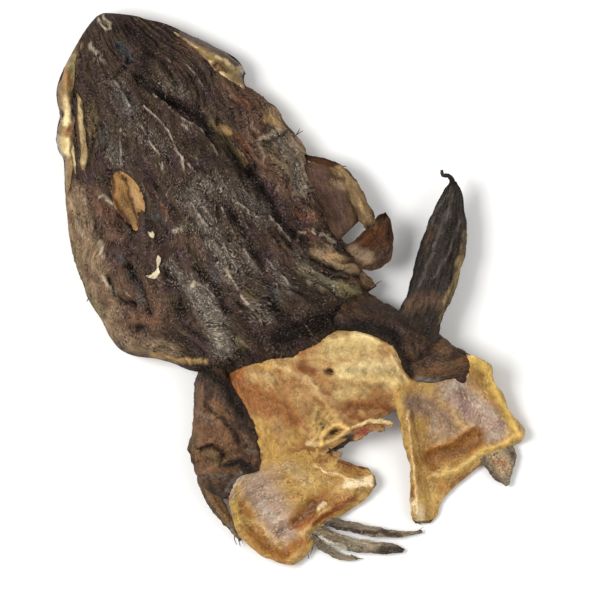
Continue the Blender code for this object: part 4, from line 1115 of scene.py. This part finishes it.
# The collar plates.
# The two bony plates of the collar, splayed flat behind the nape. Each is a thin golden shell with a
# grey-pink skin dried over its hollow, and it runs on from the flesh without a seam.
PLATE_GROUNDS = ((0.360, 0.190, 0.046), (0.450, 0.275, 0.083))
PLATE_DUST = ((0.760, 0.620, 0.440), 0.10)
PLATE_THICK = 3.4
PLATE_TINTS = {
    "gold": ((0.43, 0.245, 0.062), (
        (0.8, 6, -76, -106, -56, -109, -40, -116),
    )),
    "brown_and_shade": ((0.27, 0.165, 0.1), (
        (0.9, 8, 34, -114, 42, -122, 46, -136), (0.6, 7, 36, -140, 50, -144),
    )),
    "dusty": ((0.42, 0.3, 0.2), (
        (0.7, 9, 60, -118, 68, -136), (0.8, 9, -80, -118, -78, -146), (0.5, 6, -56, -114, -50, -126),
    )),
    "membrane": ((0.385, 0.258, 0.172), (
        (0.95, 12, -78, -116, -76, -148), (0.5, 7, -66, -112, -68, -122), (0.4, 5, 36, -134, 46, -142),
        (0.95, 11, 60, -117, 70, -152),
    )),
    "mauve": ((0.3, 0.18, 0.145), (
        (0.7, 7, 61, -122, 63, -136), (0.6, 6, 74, -140, 76, -152), (0.5, 4, -78, -148, -74, -153),
        (0.5, 5, -84, -120, -82, -132), (0.5, 5, 68, -150, 72, -158),
    )),
    "chalk": ((0.43, 0.345, 0.26), (
        (0.55, 4, 68, -130, 76, -146), (0.6, 1.6, 41, -127, 37, -135), (0.6, 4, -82, -128, -79, -142),
        (0.7, 1.6, -97, -117, -93, -110, -88, -106.5, -80, -106), (0.5, 4, 66, -156, 76, -158),
        (0.6, 3, 54, -121, 60, -115, 66, -119),
    )),
    # Ochre: the plates' orange rims and corners, and painted shade in the hollow of each plate.
    "ochre_and_shade": ((0.262, 0.105, 0.018), (
        (0.85, 5, -95, -142, -92, -154, -86, -163, -70, -162), (0.7, 4, -93, -122, -92, -131),
        (0.95, 6, -68, -148, -46, -143), (0.6, 4, -42, -146, -30, -147),
        (0.95, 7, 28, -151, 44, -153, 60, -152), (0.7, 4, 26, -158, 30, -152),
        (0.7, 4, -25, -130, -17, -139), (0.4, 3, 14, -160, 20, -146), (0.5, 3, 24, -171, 44, -170),
    )),
    # Umber: painted shade in the plates' hollows and in the groove beside the right plate's spar, with dark
    # brown edges.
    "umber_and_shade": ((0.15, 0.054, 0.011), (
        (0.8, 3.6, -68, -149, -50, -144), (0.6, 3.4, 32, -152, 46, -154),
        (0.9, 1.6, -25, -126, -20, -132, -12.5, -136, -10.5, -140), (0.6, 3, 42, -156, 58, -157),
        (0.5, 2, -90, -166, -80, -171), (0.6, 1.8, 31, -173, 54, -170), (0.6, 2, 82, -140, 82, -145),
        (0.7, 1.4, 20.5, -112, 17, -134, 12, -152, 5, -170), (0.5, 1.2, 30, -118, 22, -150),
    )),
    "russet": ((0.225, 0.064, 0.01), (
        (0.7, 2.4, -68, -152, -54, -150), (0.85, 2.6, -58, -154, -28, -151),
        (0.6, 1.4, -82, -158, -78, -160), (0.5, 1.6, 28, -146.5, 60, -147), (0.5, 2, -40, -118, -34, -121),
    )),
    "cream": ((0.76, 0.6, 0.35), (
        (1, 3, -27, -141, -14, -147), (0.6, 1.4, -51, -147.5, -46, -145.5),
        (0.6, 0.9, -40.8, -122, -30.4, -133.6, -20, -142.4), (0.4, 1.3, 28, -117, 9, -167, 4, -178),
        (0.4, 2.2, 26, -161, 41, -164, 57, -162), (0.6, 4, 6, -172, 5, -182),
    )),
    "lemon": ((0.54, 0.35, 0.085), (
        (0.9, 4, 80, -106, 84, -116), (0.8, 3, 84, -118, 84, -158), (0.8, 2.6, -97, -120, -100, -130),
        (0.6, 4, 10, -172, 18, -174), (0.6, 3, 28, -163, 44, -165, 58, -162, 72, -164, 84, -163),
        (0.35, 4, 24, -110, 10, -160), (0.4, 6, -56, -118, -44, -128),
    )),
}
LEFT_PLATE_A = (
    (-90, -102), (-76, -98), (-54, -100), (-36, -110), (-26, -123), (-18, -132), (-11, -139.5), (-9.5, -145),
)
LEFT_PLATE_B = (
    (-96, -107), (-99, -116), (-101.5, -125), (-104, -137), (-101.5, -147), (-98.5, -155), (-92, -163),
    (-83, -171.5), (-77, -172), (-70, -170), (-63, -165), (-57, -160), (-50, -158), (-36, -157.5),
    (-20, -155), (-11, -150.5),
)
RIGHT_PLATE_A = (
    (25, -98), (22.5, -110), (20, -121), (17, -131), (15, -141), (12.5, -151), (8, -160), (3, -170),
    (-0.5, -179), (0, -184),
)
RIGHT_PLATE_B = (
    (60, -96), (76, -101), (84, -108), (88, -116), (86, -125), (87, -135), (86, -146), (88.3, -163.5),
    (84.5, -167.5), (74, -168), (64, -170), (54, -170), (44, -172), (31, -175), (20, -180), (13, -186.5),
    (8.5, -188),
)


def plate_top(x, y, across, along):
    """The plate's upper face. It comes out from under the flesh, and is never lower than its thickness."""
    grown = 0.6 * waves(x / 8, y / 8, 111) + 0.3 * waves(x / 2.4, y / 2.4, 113, 3)
    grown = grown + 0.25 * waves(across * 40, along * 12, 112) - 0.6 * creases(x / 10, y / 10, 114, 6.0)
    under_flesh = 0.9 * np.clip((y - FLESH_END) / 3, 0, 1) + 3 * np.clip((y - FLESH_END - 3) / 5, 0, 1)
    grown = grown * np.clip((FLESH_END + 2 - y) / 8, 0, 1)
    return np.maximum(collar_top(x, y) + grown - under_flesh, PLATE_THICK)


PLATES = (("left_plate", LEFT_PLATE_A, LEFT_PLATE_B), ("right_plate", RIGHT_PLATE_A, RIGHT_PLATE_B))
for name, edge_a, edge_b in PLATES:
    plate, spots = sheet(
        name, edge_a, edge_b,
        lambda x, y, across, along: plate_top(x, y, across, along) - PLATE_THICK / 2,
        PLATE_THICK, size=(215, 255), depth=0.16,
    )
    dress(
        plate, spots, PLATE_GROUNDS, PLATE_TINTS,
        stretch=2.2, breakup=0.7, speckle=0.28, cloud=0.14, cracks=0.04, dust=PLATE_DUST,
        roughness=(0.32, 0.52), gloss=0.3, bump=0.4, dusty=0.5,
    )
    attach(plate, "root")
    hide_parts("stockfish")


# The right breast fin.
# A stiff paddle of horny rays under dark skin. It stands out and up from the shoulder, and its first ray ends
# in a curled thread.
FIN_GROUNDS = ((0.018, 0.012, 0.009), (0.040, 0.027, 0.020), (0.028, 0.022, 0.018))
FIN_DUST = ((0.150, 0.130, 0.110), 0.2)
FIN_TINTS = {
    "brown_and_shade": ((0.09, 0.052, 0.032), (
        (0.7, 7, 60, -58, 72, -60, 78, -66), (0.5, 3, 84, -30, 96, -20),
    )),
    "straw": ((0.165, 0.112, 0.05), (
        (0.75, 2.6, 80, -66, 92, -58, 102, -46), (0.5, 2, 104, -44, 112, -32), (0.4, 1.4, 70, -76, 80, -69),
    )),
    # Grey: painted highlights along the rays.
    "grey_and_sheen": ((0.088, 0.074, 0.062), (
        (0.6, 1.4, 70, -50, 88, -34, 104, -18, 116, -8), (0.5, 1.2, 92, -20, 106, -10, 117, -4),
        (0.6, 3, 98, -24, 108, -16), (0.5, 1.4, 80, -50, 98, -38, 112, -24),
    )),
    "black_and_shade": ((0.012, 0.009, 0.008), (
        (0.7, 2.2, 54, -56, 86, -25), (0.6, 2.4, 100, -30, 114, -18),
    )),
}
FIN_A = (
    (42, -66), (51, -58), (60, -51.5), (68, -43), (76, -33.5), (86, -23.5), (96, -14.5), (106, -6.5),
    (114, -1.5), (119, 1.5),
)
FIN_B = (
    (60, -92), (69, -81), (76, -73), (83, -68), (91, -61.5), (98, -53), (105, -46), (111, -37),
    (115.5, -28), (118.5, -18), (121.8, -10), (121.5, -1),
)
FIN_RAYS = 9
FIN_THICK = 3.2
FIN_ROOT_HEIGHT = 30


def fin_relief(across, along):
    """Low ribs over the rays, which run the fin's length and fade at its root."""
    ribs = np.abs(np.cos(np.pi * FIN_RAYS * (across + 0.03 * waves(along * 6, across * 2, 122))))
    return 0.8 * (ribs**0.7 - 0.5) * np.clip(3 * along, 0, 1) + 0.5 * waves(along * 8, across * 4, 121)


def fin_height(x, y, across, along):
    """It falls from the shoulder, lifts again at its tip, and leans down towards its rear edge."""
    fall = FIN_ROOT_HEIGHT - 15 * along + 6.5 * along**4 - 5 * across * (1 - along)
    return fall + fin_relief(across, along)


fin, spots = sheet(
    "right_fin", FIN_A, FIN_B, fin_height,
    lambda x, y, across, along: FIN_THICK * (1.5 - 0.9 * along),
    size=(260, 130), ragged=0.5,
)
dress(
    fin, spots, FIN_GROUNDS, FIN_TINTS,
    stretch=5.0, breakup=1.0, speckle=0.36, cloud=0.2, cracks=0.2, dust=FIN_DUST,
    roughness=(0.42, 0.7), gloss=0.08, bump=0.4,
)
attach(fin, "root")
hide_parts("stockfish")


def thread(name, points, start, end, lumps=0.15):
    """A dried thread along points, from one radius to another."""
    length = np.linalg.norm(np.diff(np.array(points, float), axis=0), axis=1).sum()
    rings = max(12, int(length * 2.5))
    share = np.linspace(0, 1, rings)
    middle = path(points, share)
    ahead = np.gradient(middle, axis=0)
    ahead /= np.linalg.norm(ahead, axis=1, keepdims=True)
    side = np.cross(ahead, (0.0, 0.0, 1.0))
    side /= np.maximum(np.linalg.norm(side, axis=1, keepdims=True), 1e-6)
    up = np.cross(side, ahead)
    angle = np.linspace(0, 2 * np.pi, 10, endpoint=False)
    lumpy = 1 + lumps * waves(share * length / 3, 0 * share, len(name) + 7)
    radius = (start + (end - start) * share) * lumpy
    wheel = side[:, None] * np.cos(angle)[None, :, None] + up[:, None] * np.sin(angle)[None, :, None]
    rings_at = middle[:, None] + wheel * radius[:, None, None]
    piece, spots = closed_mesh(name, rings_at)
    around = np.broadcast_to(angle, rings_at.shape[:2]) * start
    lay_run(piece, with_ends(around), with_ends(share[:, None] * length + 0 * angle))
    return piece, spots


CURL = ((117.5, -3, 20.5), (119.6, 1, 22.5), (118.6, 4.5, 25), (115.6, 6.5, 27.5), (116.4, 9.4, 28.6))
curl, spots = thread("fin_curl", CURL, start=1.9, end=1.0, lumps=0.3)
lay_tints(curl, spots, FIN_TINTS)
curl.data.materials.append(fin.data.materials[0])
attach(curl, "root")
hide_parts("stockfish")


# The left breast fin.
# It is broken up: a folded strip of it lies along the shoulder's outer edge, a torn flap shows behind the
# right plate, and its loose rays come out under the left plate as split, frayed ribbons.
FRAY_GROUNDS = ((0.115, 0.086, 0.054), (0.260, 0.205, 0.138))
FRAY_DUST = ((0.560, 0.500, 0.390), 0.25)
FRAY_TINTS = {
    "umber_and_shade": ((0.04, 0.026, 0.018), (
        (0.9, 5, -26, -190, -16, -195), (0.8, 2, -52, -158, -34, -172, -12, -186),
        (0.5, 2, -54, -172, -40, -184), (0.6, 2, 56, -174, 60, -186), (0.6, 2, 76, -172, 70, -182),
        (0.8, 2, -109, -90, -112, -112, -108, -132),
    )),
    "olive": ((0.135, 0.068, 0.024), (
        (0.9, 5, -104, -80, -107, -104, -105, -126),
    )),
    "tan": ((0.33, 0.225, 0.12), (
        (0.8, 7, 66, -166, 66, -178), (0.4, 3, -56, -162, -46, -168),
    )),
    "russet": ((0.28, 0.11, 0.05), (
        (0.6, 2.5, 62, -171, 68, -175),
    )),
    "chalk": ((0.48, 0.43, 0.33), (
        (0.4, 1.6, -44, -172, -26, -184), (0.7, 2, -58, -164, -48, -178),
    )),
}
TORN = (  # name, edge A, edge B, height at its start and end, thickness at its start and end, ribs, size
    ("upper_ray", ((-47, -155), (-36, -164), (-18, -178.5), (-6, -186.5), (1.6, -189.7)),
     ((-54, -157), (-42, -168), (-24, -181.5), (-8, -189), (1.4, -191)), (7.0, 2.8),
     (4.0, 1.6), 3, (140, 40)),
    ("lower_ray", ((-55, -157), (-44, -170), (-30, -181), (-18, -189.5), (-13.5, -195.5)),
     ((-62, -159), (-53, -174), (-38, -185.5), (-24, -193.5), (-16, -196.8)), (6.5, 3.0),
     (4.2, 2.2), 4, (140, 56)),
    ("short_ray", ((-62, -158), (-57, -170), (-50, -180), (-43, -187)),
     ((-66, -160), (-62, -171), (-55, -181.5), (-44, -188)), (6.0, 2.6), (3.4, 1.4), 3, (90, 36)),
    ("folded_strip", ((-103, -76), (-110.5, -92), (-112.6, -112), (-109, -130), (-105, -143)),
     ((-99, -80), (-101.5, -98), (-102, -114), (-103, -130), (-102.5, -142)), (18.0, 8.0),
     (7.0, 3.0), 2, (160, 50)),
    ("torn_flap", ((54, -164), (55.6, -172), (58, -182), (62, -189)),
     ((79, -164), (78, -171), (74.6, -178), (68, -185), (64.5, -189)), (5.0, 4.0), (2.6, 2.0), 5, (90, 70)),
)
for name, edge_a, edge_b, heights, thicks, ribs, size in TORN:
    ray, spots = sheet(
        name, edge_a, edge_b,
        lambda x, y, across, along: heights[0] + (heights[1] - heights[0]) * along
        + 0.3 * waves(along * 12, across * 4, 132)
        + 0.5 * np.abs(np.cos(np.pi * ribs * (across + 0.1 * waves(along * 5, across, 131)))),
        lambda x, y, across, along: thicks[0] + (thicks[1] - thicks[0]) * along,
        size,
    )
    dress(
        ray, spots, FRAY_GROUNDS, FRAY_TINTS,
        stretch=14.0, breakup=1.1, speckle=0.5, cloud=0.2, cracks=0.2, dust=FRAY_DUST,
        roughness=(0.45, 0.7), gloss=0.15, bump=0.35,
    )
    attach(ray, "root")
    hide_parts("stockfish")


# Threads and crumbs.
# Frayed fibres at the torn edges, a few twig-like bone tips, and crumbs of dried flesh on the cheek. All are
# dried on.
THREADS = (  # root, middle, tip, radius at the root
    ((40, 71, 17), (45, 71.6, 18), (49.5, 72, 19), 0.6),
    ((45, 72, 18), (47, 73, 18.5), (48.5, 74.4, 19), 0.4),
    ((43, -36.5, 16), (47, -36, 17), (51, -35.8, 18), 0.6),
    ((-119, 39, 14), (-121, 38.6, 15), (-122.4, 37.6, 16), 0.6),
    ((60, 40, 18), (62.4, 40, 19), (64, 39.2, 20), 0.6),
    ((-104, -138, 8), (-105.5, -142, 7), (-106.4, -146, 6), 0.5),
    ((-105, -136, 8), (-107.5, -140, 7), (-108, -144, 6), 0.5),
    ((-103, -138, 8), (-103.6, -142, 7), (-104.2, -145, 6), 0.4),
    ((-66, -162, 5), (-69, -167, 4.5), (-71, -173, 4), 0.7),
    ((-64, -163, 5), (-66, -168, 4.5), (-69, -171, 4), 0.6),
    ((-46, -183, 4), (-43, -187, 3), (-40, -189, 2.6), 0.5),
    ((-10, -186, 5), (-2, -188.6, 4), (3.4, -188.2, 4), 0.4),
    ((-34, -184, 4), (-28, -188, 3.4), (-22, -194, 3), 0.5),
    ((0, -181, 5), (1.6, -184.6, 4), (3.0, -186.2, 4), 0.4),
)
for i, (root, middle, tip, radius) in enumerate(THREADS):
    fibre, spots = thread(f"fibre_{i}", (root, middle, tip), radius, 0.35 * radius, 0.25)
    lay_tints(fibre, spots, FRAY_TINTS)
    fibre.data.materials.append(bpy.data.materials["short_ray"])
    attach(fibre, "root")
    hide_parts("stockfish")

CRUMB_GROUND = ((0.500, 0.410, 0.270), (0.660, 0.560, 0.380))
CRUMB_THICK = 2.0
CRUMBS = (  # edge A, edge B on the plan
    (((-81, 35), (-76, 34), (-71, 36)), ((-80.5, 33.5), (-76, 30), (-71.5, 33))),
    (((-71, 38), (-70, 41), (-67.5, 42.5)), ((-72.4, 35.5), (-69, 37), (-66.8, 40))),
    (((-67, 59), (-65.5, 58), (-64, 58)), ((-67, 55), (-65.5, 53.5), (-63.5, 55))),
)
crumb_finish = dried_finish(
    "crumb", CRUMB_GROUND, {},
    stretch=3.0, breakup=1.0, speckle=0.35, cloud=0.2, cracks=0.0, dust=FRAY_DUST,
    roughness=(0.5, 0.7), gloss=0.2, bump=0.4,
)
for i, (edge_a, edge_b) in enumerate(CRUMBS):
    crumb, _ = sheet(
        f"crumb_{i}", edge_a, edge_b,
        lambda x, y, across, along: on_head(x, y, 0.2) + 0.4 * waves(x / 1.6, y / 1.6, 141),
        CRUMB_THICK, size=(30, 30),
    )
    crumb.data.materials.append(crumb_finish)
    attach(crumb, "root")
    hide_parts("stockfish")
